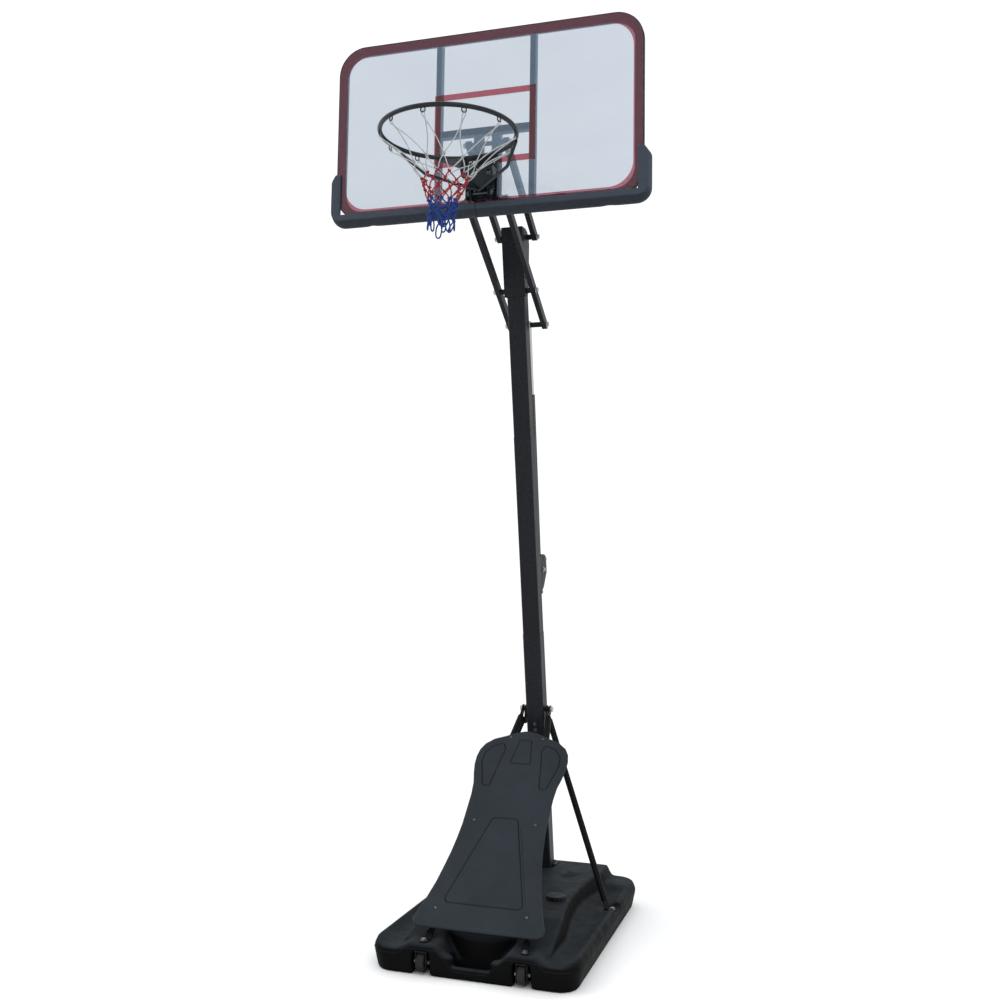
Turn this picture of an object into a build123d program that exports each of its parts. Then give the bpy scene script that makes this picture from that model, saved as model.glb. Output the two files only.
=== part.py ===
from build123d import *
import os
from math import cos, hypot, radians, sin

# A portable basketball hoop, in millimetres at its real size.
# Origin: on the floor, below the centre of the pole's foot. +Z is up, -Y is the playing side
# and +X is to the right of a player who faces the board. The pose is the highest setting.

os.makedirs("parts", exist_ok=True)

# ---- driving dimensions ----
LEAN = 12.0                     # forward lean of the pole, degrees
BASE_HALF_WIDTH = 396.0
BASE_FRONT = -995.0
BASE_REAR = 150.0
SEAM_Z = 78.0                   # parting line of the moulded tank, its widest level
BAR_Z = 44.0                    # top of the carrying bar
RIDGE_Z = 114.0                 # top of the tank's outer ridge
DECK_Z = 165.0                  # top of the raised deck that carries the pole
DECK_EDGE = 264.0               # deck's half width at its front and rear, and at its waist
DECK_WAIST = 230.0
VALLEY_X = 308.0                # shallow valleys between the deck and the tank's sides
VALLEY_RADIUS = 110.0
VALLEY_Z = 90.0
FILL_CAP = (178.0, -470.0)
PLATE_SCREW_Y = 58.0
WHEEL_X = 190.0
WHEEL_Y = -962.0
WHEEL_Z = 45.0
WHEEL_RADIUS = 37.0
WHEEL_NOTCH = 64.0              # width of the notches that hold the wheels
POLE_FOOT_S = -62.0             # distances along the pole are counted from the deck
POLE_TOP_S = 2668.0
POLE_LOWER = 77.0               # outer sides of the three pole tubes
POLE_MIDDLE = 75.0
POLE_UPPER = 73.0
POLE_WALL = 2.0
LOWER_JOINT_S = 1050.0
MIDDLE_JOINT_S = 1900.0
POLE_INSERT = 95.0
ARM_X = 75.0                    # centre planes of the lifting arms
ARM_WIDTH = 20.0
ARM_DEPTH = 32.0
ARM_WALL = 2.0
PIVOT_LOW = (-537.0, 2611.0)    # (y, z) of the long arms' pivot on the pole head
PIVOT_RISE = (6.0, 226.0)       # from each lower pivot to the upper one, on head and board
ARM_REACH = (-402.0, 249.0)     # from a head pivot to its board pivot
TAIL = 200.0                    # long arms' tail behind the head
ARM_END = 6.0                   # how much further the long arms reach beyond the tail's pivot
PIVOT_BOLT_R = 6.0
HEAD_WIDTH = 90.0
HEAD_WALL = 4.0
HEAD_BOLT_R = 4.0
HEAD_REAR = -508.0
HEAD_SPAN = (2480.0, 2763.0)    # the head's front edge, along the pole
BOARD_FACE = -977.0             # front face of the clear sheet
BOARD_WIDTH = 1220.0
BOARD_TOP = 3514.0
BOARD_BOTTOM = 2816.0
BOARD_CORNER = 110.0
BORDER = 34.0                   # width of the steel frame's front flange
FRAME_DEPTH = 16.5
SHEET = 4.0
RAIL_X = 188.0
RAIL = 25.0
CROSSBAR_Z = 3122.0
CHANNEL_X = 36.0
CHANNEL_WIDTH = 30.0
BRACKET_TOP = 3138.0
BOARD_BUSH_R = 8.5
PAD_SEAM = -28.0                # where the padding's two halves meet, left of the middle
PAD_LOW = 2796.0
PAD_SHELF = 2841.0
PAD_HIGH = 3004.0
PAD_THICK = 12.0                # padding in front of the clear sheet
PAD_DEPTH = 52.0
PAD_GAP = 0.4                   # each half's end stays this far from the seam
RING_RADIUS = 235.0             # to the centre of the ring's round bar
RING_BAR_R = 8.0
RING_Y = BOARD_FACE - 380.0
RING_Z = 2960.0
HOOK_ANGLES = (0.0, 33.0, 66.0, 99.0, 131.0, 180.0)   # each way from the ring's front
RIM_HINGE = (BOARD_FACE - 34.0, 2866.0)
RIM_BOLT_X = CHANNEL_X
RIM_BOLT_Z = (2894.0, 2992.0)
RIM_BOLT_R = 5.0
RIM_EAR_X = 40.0
SPRING_COVER_TIP = (BOARD_FACE - 92.0, 2947.9)    # (y, z) ends of its sloping front
SPRING_COVER_TOE = (BOARD_FACE - 46.0, 2874.0)
SPRING_BOLT_X = 46.0
NET_DROP = 372.0
BRACE_BOLT_S = 714.0            # braces' bolt through the pole
POLE_SCREW_S = (632.0, 657.0)   # two screws in the front of the lower tube
FRONT_FOOT = (193.0, -948.0, 108.0)
SIDE_FOOT = (368.0, -284.0, 86.0)
FOOT_BOLT_R = 5.0
FOOT_BOLT_DEPTH = 16.0
FOOT_PLATE = 5.0                # thickness of the flattened brace feet
BRACE_R = 13.0
BRACE_EYE = 5.0                 # thickness of the flattened eyes
SIDE_EYE_X = 47.5               # middle planes of the eyes on the pole's bolt
FRONT_EYE_X = 60.5
LATCH_S = 1310.0                # height setting latch on the back of the pole
STRUT_OFFSET = 95.0             # height strut's lower pivot behind the pole's axis
STRUT_OUTER = 36.0
STRUT_INNER = 30.0
STRUT_OUTER_LENGTH = 760.0
STRUT_INNER_START = 340.0
STRUT_NOTCH = 22.5              # height of the open notches round the tail rod
LATCH_BOLT_R = 5.0
LATCH_HALF = 30.0
LATCH_WALL = 3.0
LEVER_PIN_R = 4.0
BOLT_GAP = 0.08                 # radial clearance of every bolt in its hole
COVER_THICK = 7.0
COVER_TOP = (-298.5, 759.5)     # (y, z) of the cover's upper screws on its front face
COVER_LOW = (-878.5, 212.8)     # (y, z) of the cover's lowest screws
COVER_SCREWS = [(70, 0), (126, -413), (176, -797)]

UP = (0.0, 0.0, 1.0)
ACROSS = (1.0, 0.0, 0.0)


# ---- shared helpers ----
def on_pole(s, behind=0.0):
    """(y, z) of a point s along the pole from the deck and some way behind its axis."""
    y = -s * sin(radians(LEAN)) + behind * cos(radians(LEAN))
    z = DECK_Z + s * cos(radians(LEAN)) + behind * sin(radians(LEAN))
    return y, z


def plus(a, b, k=1.0):
    return a[0] + k * b[0], a[1] + k * b[1]


def span(a, b):
    return hypot(b[0] - a[0], b[1] - a[1])


def plane_yz(point, towards):
    """A plane across a (y, z) line, at its start, with its local X along +X."""
    return Plane(
        origin=(0.0, point[0], point[1]),
        x_dir=ACROSS,
        z_dir=(0.0, towards[0] - point[0], towards[1] - point[1]),
    )


def pole_plane(s):
    return plane_yz(on_pole(s), on_pole(s + 1.0))


def tube_profile(width, depth, wall, radius):
    return RectangleRounded(width, depth, radius) - RectangleRounded(
        width - 2 * wall, depth - 2 * wall, radius - wall
    )


def rod_x(point, x0, x1, radius):
    """A round bar along X at the (y, z) point."""
    bar = Cylinder(radius, x1 - x0, align=(Align.CENTER, Align.CENTER, Align.MIN))
    return Pos(x0, point[0], point[1]) * Rot(0, 90, 0) * bar


def bush_x(point, x0, x1, outer, inner):
    return rod_x(point, x0, x1, outer) - rod_x(point, x0 - 1, x1 + 1, inner)


def hex_x(point, x0, x1, across_corners):
    head = extrude(RegularPolygon(across_corners / 2, 6), x1 - x0)
    return Pos(x0, point[0], point[1]) * Rot(0, 90, 0) * head


def bolt_x(point, half_length, radius, washer=2.0):
    """A bolt along X with a washer and a head at +X, and a washer and a nut at -X."""
    bar = rod_x(point, -half_length, half_length, radius)
    head = hex_x(point, half_length - 0.5, half_length + 1.2 * radius, 3.6 * radius)
    nut = hex_x(point, -half_length - 1.5 * radius, -half_length + 0.5, 3.6 * radius)
    washers = rod_x(point, half_length - washer, half_length, 2.2 * radius)
    washers += rod_x(point, -half_length, -half_length + washer, 2.2 * radius)
    return bar + head + nut + washers


def bolt_along(point, direction, length, radius, head_height):
    """A bolt with a washer under a hexagon head at the point, its shank along direction."""
    shank = Cylinder(radius, length, align=(Align.CENTER, Align.CENTER, Align.MIN))
    washer = Pos(0, 0, -1.5) * Cylinder(
        2.2 * radius, 1.5, align=(Align.CENTER, Align.CENTER, Align.MIN)
    )
    head = Pos(0, 0, -1.5 - head_height) * extrude(RegularPolygon(1.8 * radius, 6), head_height)
    return Plane(origin=point, z_dir=direction) * (shank + washer + head)


def both_sides(solid):
    return [solid, mirror(solid, about=Plane.YZ)]


def save(name, *solids):
    shape = solids[0] if len(solids) == 1 else Compound(children=list(solids))
    export_step(shape, f"parts/{name}.step")


# ---- points that follow from the dimensions ----
PIVOT_TOP = plus(PIVOT_LOW, PIVOT_RISE)
BOARD_LOW = plus(PIVOT_LOW, ARM_REACH)
BOARD_HIGH = plus(PIVOT_TOP, ARM_REACH)
ARM_LENGTH = hypot(ARM_REACH[0], ARM_REACH[1])
ARM_WAY = (ARM_REACH[0] / ARM_LENGTH, ARM_REACH[1] / ARM_LENGTH)
TAIL_PIVOT = plus(PIVOT_LOW, ARM_WAY, -TAIL)
HEAD_BOLT = on_pole(2560.0)
LATCH_PIVOT = on_pole(LATCH_S, STRUT_OFFSET)
LEVER_PIVOT = on_pole(LATCH_S + 38.0, 133.0)
STRUT_LENGTH = span(LATCH_PIVOT, TAIL_PIVOT)
STRUT_WAY = (
    (TAIL_PIVOT[0] - LATCH_PIVOT[0]) / STRUT_LENGTH,
    (TAIL_PIVOT[1] - LATCH_PIVOT[1]) / STRUT_LENGTH,
)


# ---- base tank ----
def tank_outline(inset, z, radius):
    width = 2 * (BASE_HALF_WIDTH - inset)
    length = BASE_REAR - BASE_FRONT - 2 * inset
    middle = (BASE_REAR + BASE_FRONT) / 2
    return Pos(0, middle, z) * RectangleRounded(width, length, radius)


def beside_deck():
    """The space right of the deck: the deck's steep flank curves inwards at its middle."""
    edge = Polyline((DECK_EDGE, -20.0), (DECK_EDGE + 4, 200.0), (440.0, 200.0), (440.0, -1050.0),
                    (DECK_EDGE, -1050.0), (DECK_EDGE, -700.0))
    waist = ThreePointArc((DECK_EDGE, -700.0), (DECK_WAIST, -360.0), (DECK_EDGE, -20.0))
    return Pos(0, 0, DECK_Z + 2) * extrude(
        make_face(edge + waist), DECK_Z - VALLEY_Z + 30, dir=(0, 0, -1), taper=14
    )


def deck_block():
    """The raised middle of the tank, highest round the pole and sloping down to its front."""
    side = Polyline(
        (0.0, -925.0, 60.0),
        (0.0, -925.0, RIDGE_Z - 4),
        (0.0, -700.0, DECK_Z),
        (0.0, 100.0, DECK_Z),
        (0.0, 140.0, RIDGE_Z - 4),
        (0.0, 140.0, 60.0),
        close=True,
    )
    block = extrude(make_face(side), 300.0, both=True)
    for piece in both_sides(beside_deck()):
        block -= piece
    return block


def wheel_notch(side):
    return Pos(side * WHEEL_X, BASE_FRONT + 25, 0) * Box(
        WHEEL_NOTCH, 140, 176, align=(Align.CENTER, Align.CENTER, Align.CENTER)
    )


def handle_pocket():
    """The space above and behind the carrying bar at the front of the tank."""
    well = Pos(0, -925, -1) * Box(190, 62, 300, align=(Align.CENTER, Align.CENTER, Align.MIN))
    over_bar = Polyline(
        (-138.0, BASE_FRONT - 10, 116.0),
        (-76.0, BASE_FRONT - 10, BAR_Z),
        (76.0, BASE_FRONT - 10, BAR_Z),
        (138.0, BASE_FRONT - 10, 116.0),
        (138.0, BASE_FRONT - 10, 300.0),
        (-138.0, BASE_FRONT - 10, 300.0),
        close=True,
    )
    opening = extrude(make_face(over_bar), 210.0, dir=(0, 1, 0))
    dish = Pos(0, -690, 0) * Cylinder(205, 600)
    return well + (opening - dish)


def base_tank():
    tub = loft([tank_outline(16, 0, 70), tank_outline(0, SEAM_Z, 80)])
    rim = loft([tank_outline(0, SEAM_Z, 80), tank_outline(14, RIDGE_Z, 74)])
    rim = fillet(rim.faces().sort_by(Axis.Z)[-1].edges(), 10)
    tank = tub + rim
    valley = Cylinder(VALLEY_RADIUS, 960, align=(Align.CENTER, Align.CENTER, Align.MIN))
    valley = Rot(90, 0, 0) * (valley + Sphere(VALLEY_RADIUS))
    for side in (-1, 1):
        tank -= Pos(side * VALLEY_X, -80, VALLEY_Z + VALLEY_RADIUS) * valley
    tank += deck_block()
    tank -= handle_pocket()
    for side in (-1, 1):
        tank -= wheel_notch(side)
        tank -= Pos(side * SIDE_FOOT[0], SIDE_FOOT[1], SIDE_FOOT[2]) * Box(
            100, 80, 80, align=(Align.CENTER, Align.CENTER, Align.MIN)
        )
        tank -= Pos(side * FRONT_FOOT[0], FRONT_FOOT[1] + 12, FRONT_FOOT[2]) * Box(
            60, 76, 40, align=(Align.CENTER, Align.CENTER, Align.MIN)
        )
        for foot in (FRONT_FOOT, SIDE_FOOT):
            tank -= Pos(side * foot[0], foot[1], foot[2] - FOOT_BOLT_DEPTH - 1) * Cylinder(
                FOOT_BOLT_R + BOLT_GAP, 60, align=(Align.CENTER, Align.CENTER, Align.MIN)
            )
    tank -= pole_plane(POLE_FOOT_S) * extrude(
        RectangleRounded(POLE_LOWER + 1, POLE_LOWER + 1, 10.5), 300
    )
    tank -= Pos(FILL_CAP[0], FILL_CAP[1], DECK_Z - 22) * Cylinder(
        27, 100, align=(Align.CENTER, Align.CENTER, Align.MIN)
    )
    for x in (-34, 34):
        tank -= Pos(x, PLATE_SCREW_Y, DECK_Z - 16) * Cylinder(
            3 + BOLT_GAP, 40, align=(Align.CENTER, Align.CENTER, Align.MIN)
        )
    return tank


def foot_plate():
    """A steel plate screwed to the deck behind the pole, which it holds in its socket."""
    plate = Pos(0, 4, DECK_Z) * Box(104, 66, 4, align=(Align.CENTER, Align.MIN, Align.MIN))
    hole = pole_plane(POLE_FOOT_S) * extrude(
        RectangleRounded(POLE_LOWER + 0.6, POLE_LOWER + 0.6, 10.3), 300
    )
    plate -= hole
    for x in (-34, 34):
        plate -= Pos(x, PLATE_SCREW_Y, DECK_Z) * Cylinder(3 + BOLT_GAP, 40)
    return plate


def pole_screws():
    """The foot plate's screws, and two in the front of the lower tube above the cover."""
    screws = [
        bolt_along((x, PLATE_SCREW_Y, DECK_Z + 4), (0, 0, -1), 18, 3, 4) for x in (-34, 34)
    ]
    for s in POLE_SCREW_S:
        y, z = on_pole(s, -POLE_LOWER / 2)
        inwards = (0, cos(radians(LEAN)), sin(radians(LEAN)))
        screws.append(bolt_along((0, y, z), inwards, 12, 4, 4))
    return screws


def fill_cap():
    """A screw cap with finger ridges, over the opening that takes water or sand."""
    disc = Cylinder(38, 15, align=(Align.CENTER, Align.CENTER, Align.MIN))
    disc = fillet(disc.faces().sort_by(Axis.Z)[-1].edges(), 4)
    plug = Pos(0, 0, -20) * Cylinder(26.7, 20.5, align=(Align.CENTER, Align.CENTER, Align.MIN))
    cap = disc + plug
    for i in range(16):
        groove = Rot(0, 0, i * 360 / 16) * Pos(39.5, 0, 2) * Cylinder(
            3, 10, align=(Align.CENTER, Align.CENTER, Align.MIN)
        )
        cap -= groove
    return Pos(FILL_CAP[0], FILL_CAP[1], DECK_Z + 0.3) * cap


# ---- wheels ----
def wheel_tyre(x):
    tyre = rod_x((WHEEL_Y, WHEEL_Z), x - 14, x + 14, WHEEL_RADIUS)
    tyre = fillet(tyre.edges(), 5)
    return tyre - rod_x((WHEEL_Y, WHEEL_Z), x - 20, x + 20, 24)


def wheel_hub(x):
    hub = rod_x((WHEEL_Y, WHEEL_Z), x - 13, x + 13, 24)
    for side in (-1, 1):
        hub -= bush_x((WHEEL_Y, WHEEL_Z), x + side * 11 - 3, x + side * 11 + 3, 21, 9)
    return hub - rod_x((WHEEL_Y, WHEEL_Z), x - 20, x + 20, 5 + BOLT_GAP)


def wheel_bracket(x):
    """A folded steel fork under the roof of the wheel's notch."""
    roof = Pos(x, WHEEL_Y, 88) * Box(42, 60, 3, align=(Align.CENTER, Align.CENTER, Align.MAX))
    leg = Pos(x + 19.5, WHEEL_Y, 88) * Box(3, 44, 62, align=(Align.CENTER, Align.CENTER, Align.MAX))
    other = Pos(x - 19.5, WHEEL_Y, 88) * Box(
        3, 44, 62, align=(Align.CENTER, Align.CENTER, Align.MAX)
    )
    fork = roof + leg + other
    return fork - rod_x((WHEEL_Y, WHEEL_Z), x - 30, x + 30, 5 + BOLT_GAP)


def wheel_axle(x):
    return Pos(x, 0, 0) * bolt_x((WHEEL_Y, WHEEL_Z), 22, 5, 1)


# ---- pole ----
def pole_section(side, s0, s1, neck_side=None):
    """A square tube from s0 to s1, with a reduced neck below it that fits the tube under it."""
    tube = pole_plane(s0) * extrude(tube_profile(side, side, POLE_WALL, 10), s1 - s0)
    if neck_side:
        neck = pole_plane(s0 - POLE_INSERT) * extrude(
            tube_profile(neck_side, neck_side, POLE_WALL, 8.5), POLE_INSERT + 4
        )
        inner = side - 2 * POLE_WALL
        step = pole_plane(s0) * extrude(
            RectangleRounded(inner + 1, inner + 1, 8.5)
            - RectangleRounded(neck_side - 2 * POLE_WALL, neck_side - 2 * POLE_WALL, 6.5),
            4,
        )
        tube = tube + neck + step
    return tube


def pole_bolt_holes(tube, points, radius):
    for point in points:
        tube -= rod_x(point, -80, 80, radius + BOLT_GAP)
    return tube


def head_bracket():
    """A folded steel channel round the front and sides of the pole's top."""
    front_low = on_pole(HEAD_SPAN[0], -POLE_UPPER / 2 - HEAD_WALL)
    front_high = on_pole(HEAD_SPAN[1], -POLE_UPPER / 2 - HEAD_WALL)
    profile = Polyline(
        (0.0, front_low[0], front_low[1]),
        (0.0, front_high[0], front_high[1]),
        (0.0, HEAD_REAR - 54, PIVOT_TOP[1] + 26),
        (0.0, HEAD_REAR - 30, PIVOT_TOP[1] + 19),
        (0.0, HEAD_REAR - 8, PIVOT_TOP[1] + 1),
        (0.0, HEAD_REAR, PIVOT_TOP[1] - 27),
        (0.0, HEAD_REAR, front_low[1] + 30),
        (0.0, HEAD_REAR - 14, front_low[1] + 6),
        close=True,
    )
    block = extrude(make_face(profile), HEAD_WIDTH / 2, both=True)
    gap = plane_yz(on_pole(2300.0, 60.0), on_pole(2301.0, 60.0)) * Box(
        HEAD_WIDTH - 2 * HEAD_WALL, 2 * (60 + POLE_UPPER / 2), 1300
    )
    block -= gap
    for point in (PIVOT_LOW, PIVOT_TOP):
        block -= rod_x(point, -80, 80, PIVOT_BOLT_R + BOLT_GAP)
    return block - rod_x(HEAD_BOLT, -80, 80, HEAD_BOLT_R + BOLT_GAP)


# ---- braces and cover ----
def brace(eye, foot, bend_x):
    """A tube brace with a flat round eye on the pole's bolt and a flat foot on the tank."""
    inward = Vector(eye[0] - foot[0], eye[1] - foot[1], 0).normalized()
    heel = Vector(*foot) + inward * 26 + Vector(0, 0, FOOT_PLATE / 2)
    down = Vector(0, heel.Y - eye[1], heel.Z - eye[2]).normalized()
    shoulder = Vector(*eye) + down * 50 + Vector(bend_x, 0, 0)
    way = (heel - shoulder).normalized()
    length = (heel - shoulder).length
    along = Plane(origin=shoulder, x_dir=(1, 0, 0), z_dir=way)
    solid = along * extrude(Circle(BRACE_R) - Circle(BRACE_R - 2), length - 34)
    solid += along * Sphere(BRACE_R)
    solid += along * Pos(0, 0, length - 38) * Cylinder(
        BRACE_R, 6, align=(Align.CENTER, Align.CENTER, Align.MIN)
    )
    across = way.cross(Vector(0, 0, 1)).normalized()
    flat = Plane(origin=heel, x_dir=across, z_dir=way * -1)
    solid += flat * Box(2 * BRACE_R, FOOT_PLATE, 34, align=(Align.CENTER, Align.CENTER, Align.MIN))
    eye_plane = Plane(origin=eye, x_dir=down, z_dir=(1, 0, 0))
    solid += eye_plane * Pos(25, 0, 0) * extrude(SlotCenterToCenter(50, 32), BRACE_EYE / 2, both=True)
    foot_plane = Plane(origin=foot, x_dir=inward, z_dir=(0, 0, 1))
    solid += foot_plane * Pos(13, 0, 0) * extrude(SlotCenterToCenter(26, 30), FOOT_PLATE)
    solid -= rod_x((eye[1], eye[2]), eye[0] - 8, eye[0] + 8, PIVOT_BOLT_R + BOLT_GAP)
    solid -= Pos(*foot) * Cylinder(FOOT_BOLT_R + BOLT_GAP, 60)
    return solid


def front_brace():
    y, z = on_pole(BRACE_BOLT_S)
    solid = brace((FRONT_EYE_X, y, z), FRONT_FOOT, 1.5)
    for u, v in COVER_SCREWS:
        solid -= cover_plane() * Pos(u, v, -COVER_THICK - 3) * Cylinder(3.2, 24)
    return solid


def side_brace():
    y, z = on_pole(BRACE_BOLT_S)
    return brace((SIDE_EYE_X, y, z), SIDE_FOOT, 13.0)


def foot_bolts():
    bolts = []
    for foot in (FRONT_FOOT, SIDE_FOOT):
        top = (foot[0], foot[1], foot[2] + FOOT_PLATE)
        bolts += both_sides(
            bolt_along(top, (0, 0, -1), FOOT_BOLT_DEPTH + FOOT_PLATE, FOOT_BOLT_R, 6)
        )
    return bolts


def brace_spacers():
    """Bushes on the pole's bolt: inside and outside of each side brace's eye."""
    y, z = on_pole(BRACE_BOLT_S)
    inner = POLE_LOWER / 2, SIDE_EYE_X - BRACE_EYE / 2
    outer = SIDE_EYE_X + BRACE_EYE / 2, FRONT_EYE_X - BRACE_EYE / 2
    bushes = []
    for x0, x1 in (inner, outer):
        bushes += both_sides(bush_x((y, z), x0, x1, 10, PIVOT_BOLT_R + BOLT_GAP))
    return bushes


def cover_plane():
    down = (COVER_LOW[0] - COVER_TOP[0], COVER_LOW[1] - COVER_TOP[1])
    size = hypot(down[0], down[1])
    normal = (0.0, down[1] / size, -down[0] / size)
    return Plane(origin=(0.0, COVER_TOP[0], COVER_TOP[1]), x_dir=ACROSS, z_dir=normal)


def cover_outline():
    """Half of the cover's outline, mirrored: v is counted down the slope from the top screws."""
    crown = ThreePointArc((0, 34), (98, 5), (176, -48))
    shoulder = Spline((176, -48), (196, -80), (199, -130), (190, -185), (176, -236))
    waist = Line((176, -236), (172, -420))
    skirt = Spline(
        (172, -420), (185, -560), (212, -690), (252, -838),
        tangents=[(0, -1), (0.28, -0.96)],
    )
    corner = ThreePointArc((252, -838), (246, -862), (222, -873))
    bottom = Line((222, -873), (0, -874))
    middle = Line((0, -874), (0, 34))
    half = make_face(crown + shoulder + waist + skirt + corner + bottom + middle)
    return half + mirror(half, about=Plane.YZ)


def cover_panels():
    """Raised panels: a wedge between two drops, and one large wedge below them."""
    wedge = make_face(Polyline((-24, -12), (24, -12), (40, -132), (-40, -132), close=True))
    big = make_face(Polyline((-50, -400), (50, -400), (148, -772), (-148, -772), close=True))
    drop = make_face(
        Polyline(
            (-152, -62), (-84, -30), (-96, -120), (-104, -236), (-140, -252), (-166, -120),
            close=True,
        )
    )
    wedge = fillet(wedge.vertices(), 8)
    big = fillet(big.vertices(), 22)
    drop = fillet(drop.vertices(), 12)
    return [wedge, big, drop, mirror(drop, about=Plane.YZ)]


def front_cover():
    plate = Pos(0, 0, -COVER_THICK) * extrude(cover_outline(), COVER_THICK)
    for panel in cover_panels():
        plate += extrude(panel, 1.5)
    for u, v in COVER_SCREWS:
        for side in (-1, 1):
            plate -= Pos(side * u, v, -3) * Cylinder(
                8, 10, align=(Align.CENTER, Align.CENTER, Align.MIN)
            )
            plate -= Pos(side * u, v, -20) * Cylinder(
                3.1, 40, align=(Align.CENTER, Align.CENTER, Align.MIN)
            )
    return cover_plane() * plate


def cover_screws():
    screws = []
    for u, v in COVER_SCREWS:
        for side in (-1, 1):
            head = Pos(side * u, v, -3) * Cylinder(
                6.5, 3, align=(Align.CENTER, Align.CENTER, Align.MIN)
            )
            head = fillet(head.faces().sort_by(Axis.Z)[-1].edges(), 2)
            shank = Pos(side * u, v, -3 - 10) * Cylinder(
                3, 10, align=(Align.CENTER, Align.CENTER, Align.MIN)
            )
            screws.append(cover_plane() * (head + shank))
    return screws


# ---- arms ----
def arm_tube(x, start, end, holes):
    """A flat oval tube arm with round ends and cross holes for its pivot bolts."""
    length = span(start, end)
    profile = SlotOverall(length + ARM_DEPTH, ARM_DEPTH)
    solid = extrude(profile, ARM_WIDTH / 2, both=True)
    core = SlotOverall(length - 30, ARM_DEPTH - 2 * ARM_WALL)
    solid -= extrude(core, ARM_WIDTH / 2 - ARM_WALL, both=True)
    middle = ((start[0] + end[0]) / 2, (start[1] + end[1]) / 2)
    plane = Plane(
        origin=(x, middle[0], middle[1]),
        x_dir=(0, end[0] - start[0], end[1] - start[1]),
        z_dir=(1, 0, 0),
    )
    arm = plane * solid
    for point in holes:
        arm -= rod_x(point, x - 40, x + 40, PIVOT_BOLT_R + BOLT_GAP)
        sleeve = bush_x(point, x - ARM_WIDTH / 2, x + ARM_WIDTH / 2, 10, PIVOT_BOLT_R + BOLT_GAP)
        arm += sleeve
    return arm


def pivot_bolt(point):
    """A pivot bolt right across both arms."""
    return bolt_x(point, ARM_X + ARM_WIDTH / 2 + 0.4 + 2.0, PIVOT_BOLT_R)


def pair_bushes(point, x0, x1, outer=11.0):
    return both_sides(bush_x(point, x0, x1, outer, PIVOT_BOLT_R + BOLT_GAP))


# ---- height strut and latch ----
def strut_plane(distance):
    start = plus(LATCH_PIVOT, STRUT_WAY, distance)
    return plane_yz(start, plus(start, STRUT_WAY))


def strut_outer_tube():
    tube = strut_plane(-16) * extrude(
        tube_profile(STRUT_OUTER, STRUT_OUTER, 2.2, 5), STRUT_OUTER_LENGTH + 16
    )
    return tube - rod_x(LATCH_PIVOT, -40, 40, 5 + BOLT_GAP)


def strut_inner_tube():
    """The sliding tube. Its top has open notches, which hook on the tail rod from the front."""
    length = STRUT_LENGTH + 17 - STRUT_INNER_START
    tube = strut_plane(STRUT_INNER_START) * extrude(
        tube_profile(STRUT_INNER, STRUT_INNER, 2.2, 4), length
    )
    notch = strut_plane(STRUT_LENGTH) * Box(
        60, 60, STRUT_NOTCH, align=(Align.CENTER, Align.MIN, Align.CENTER)
    )
    tube -= notch
    return tube - rod_x(TAIL_PIVOT, -40, 40, PIVOT_BOLT_R + 1.5)


def on_latch(points):
    """A face in the pole's side plane from (behind, along) points round the strut's pivot."""
    return make_face(Polyline([(0.0, b, s) for b, s in points], close=True))


def latch_housing():
    """The case on the back of the pole: its cheeks carry the strut and the lever."""
    back = POLE_MIDDLE / 2
    rear = back + 114
    outer = [(back, -91), (back, 62), (rear - 28, 62), (rear, 44), (rear, -22), (96, -76), (62, -91)]
    inner = [
        (back + LATCH_WALL, -120),
        (back + LATCH_WALL, 59),
        (rear - 29, 59),
        (rear - LATCH_WALL, 42),
        (rear - LATCH_WALL, 26),
        (rear + 20, 26),
        (rear + 20, -120),
    ]
    case = extrude(on_latch(outer), LATCH_HALF, both=True)
    case -= extrude(on_latch(inner), LATCH_HALF - LATCH_WALL, both=True)
    case = pole_plane(LATCH_S) * case
    case -= strut_plane(10) * Box(
        STRUT_OUTER + 5, STRUT_OUTER + 5, 120, align=(Align.CENTER, Align.CENTER, Align.MIN)
    )
    case -= rod_x(LATCH_PIVOT, -60, 60, LATCH_BOLT_R + BOLT_GAP)
    return case - rod_x(LEVER_PIVOT, -60, 60, LEVER_PIN_R + BOLT_GAP)


def lever_handle():
    """The pull lever that frees the height strut, hung between the latch cheeks."""
    outline = [
        (127, 50),
        (134, 50),
        (139, 42),
        (139, -8),
        (104, -78),
        (112, -104),
        (104, -110),
        (92, -84),
        (92, -74),
        (127, -2),
    ]
    lever = pole_plane(LATCH_S) * extrude(on_latch(outline), 20, both=True)
    return lever - rod_x(LEVER_PIVOT, -40, 40, LEVER_PIN_R + BOLT_GAP)


# ---- board ----
def board_rect(inset, radius, top=None, bottom=None):
    width = BOARD_WIDTH - 2 * inset
    high = BOARD_TOP - BOARD_BOTTOM - 2 * inset
    middle = (BOARD_TOP + BOARD_BOTTOM) / 2
    face = RectangleRounded(width, high, radius)
    return Plane(origin=(0, BOARD_FACE, middle), x_dir=ACROSS, z_dir=(0, 1, 0)) * face


def behind(face, start, depth):
    """Extrude a face that lies in the board's front plane, from start to start + depth behind."""
    return Pos(0, start, 0) * extrude(face, depth, dir=(0, 1, 0))


def board_sheet():
    sheet = behind(board_rect(3, BOARD_CORNER - 3), 0, SHEET)
    for x in (-RIM_BOLT_X, RIM_BOLT_X):
        for z in RIM_BOLT_Z:
            hole = Cylinder(5.3, 40)
            sheet -= Pos(x, BOARD_FACE, z) * Rot(90, 0, 0) * hole
    return sheet


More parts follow.
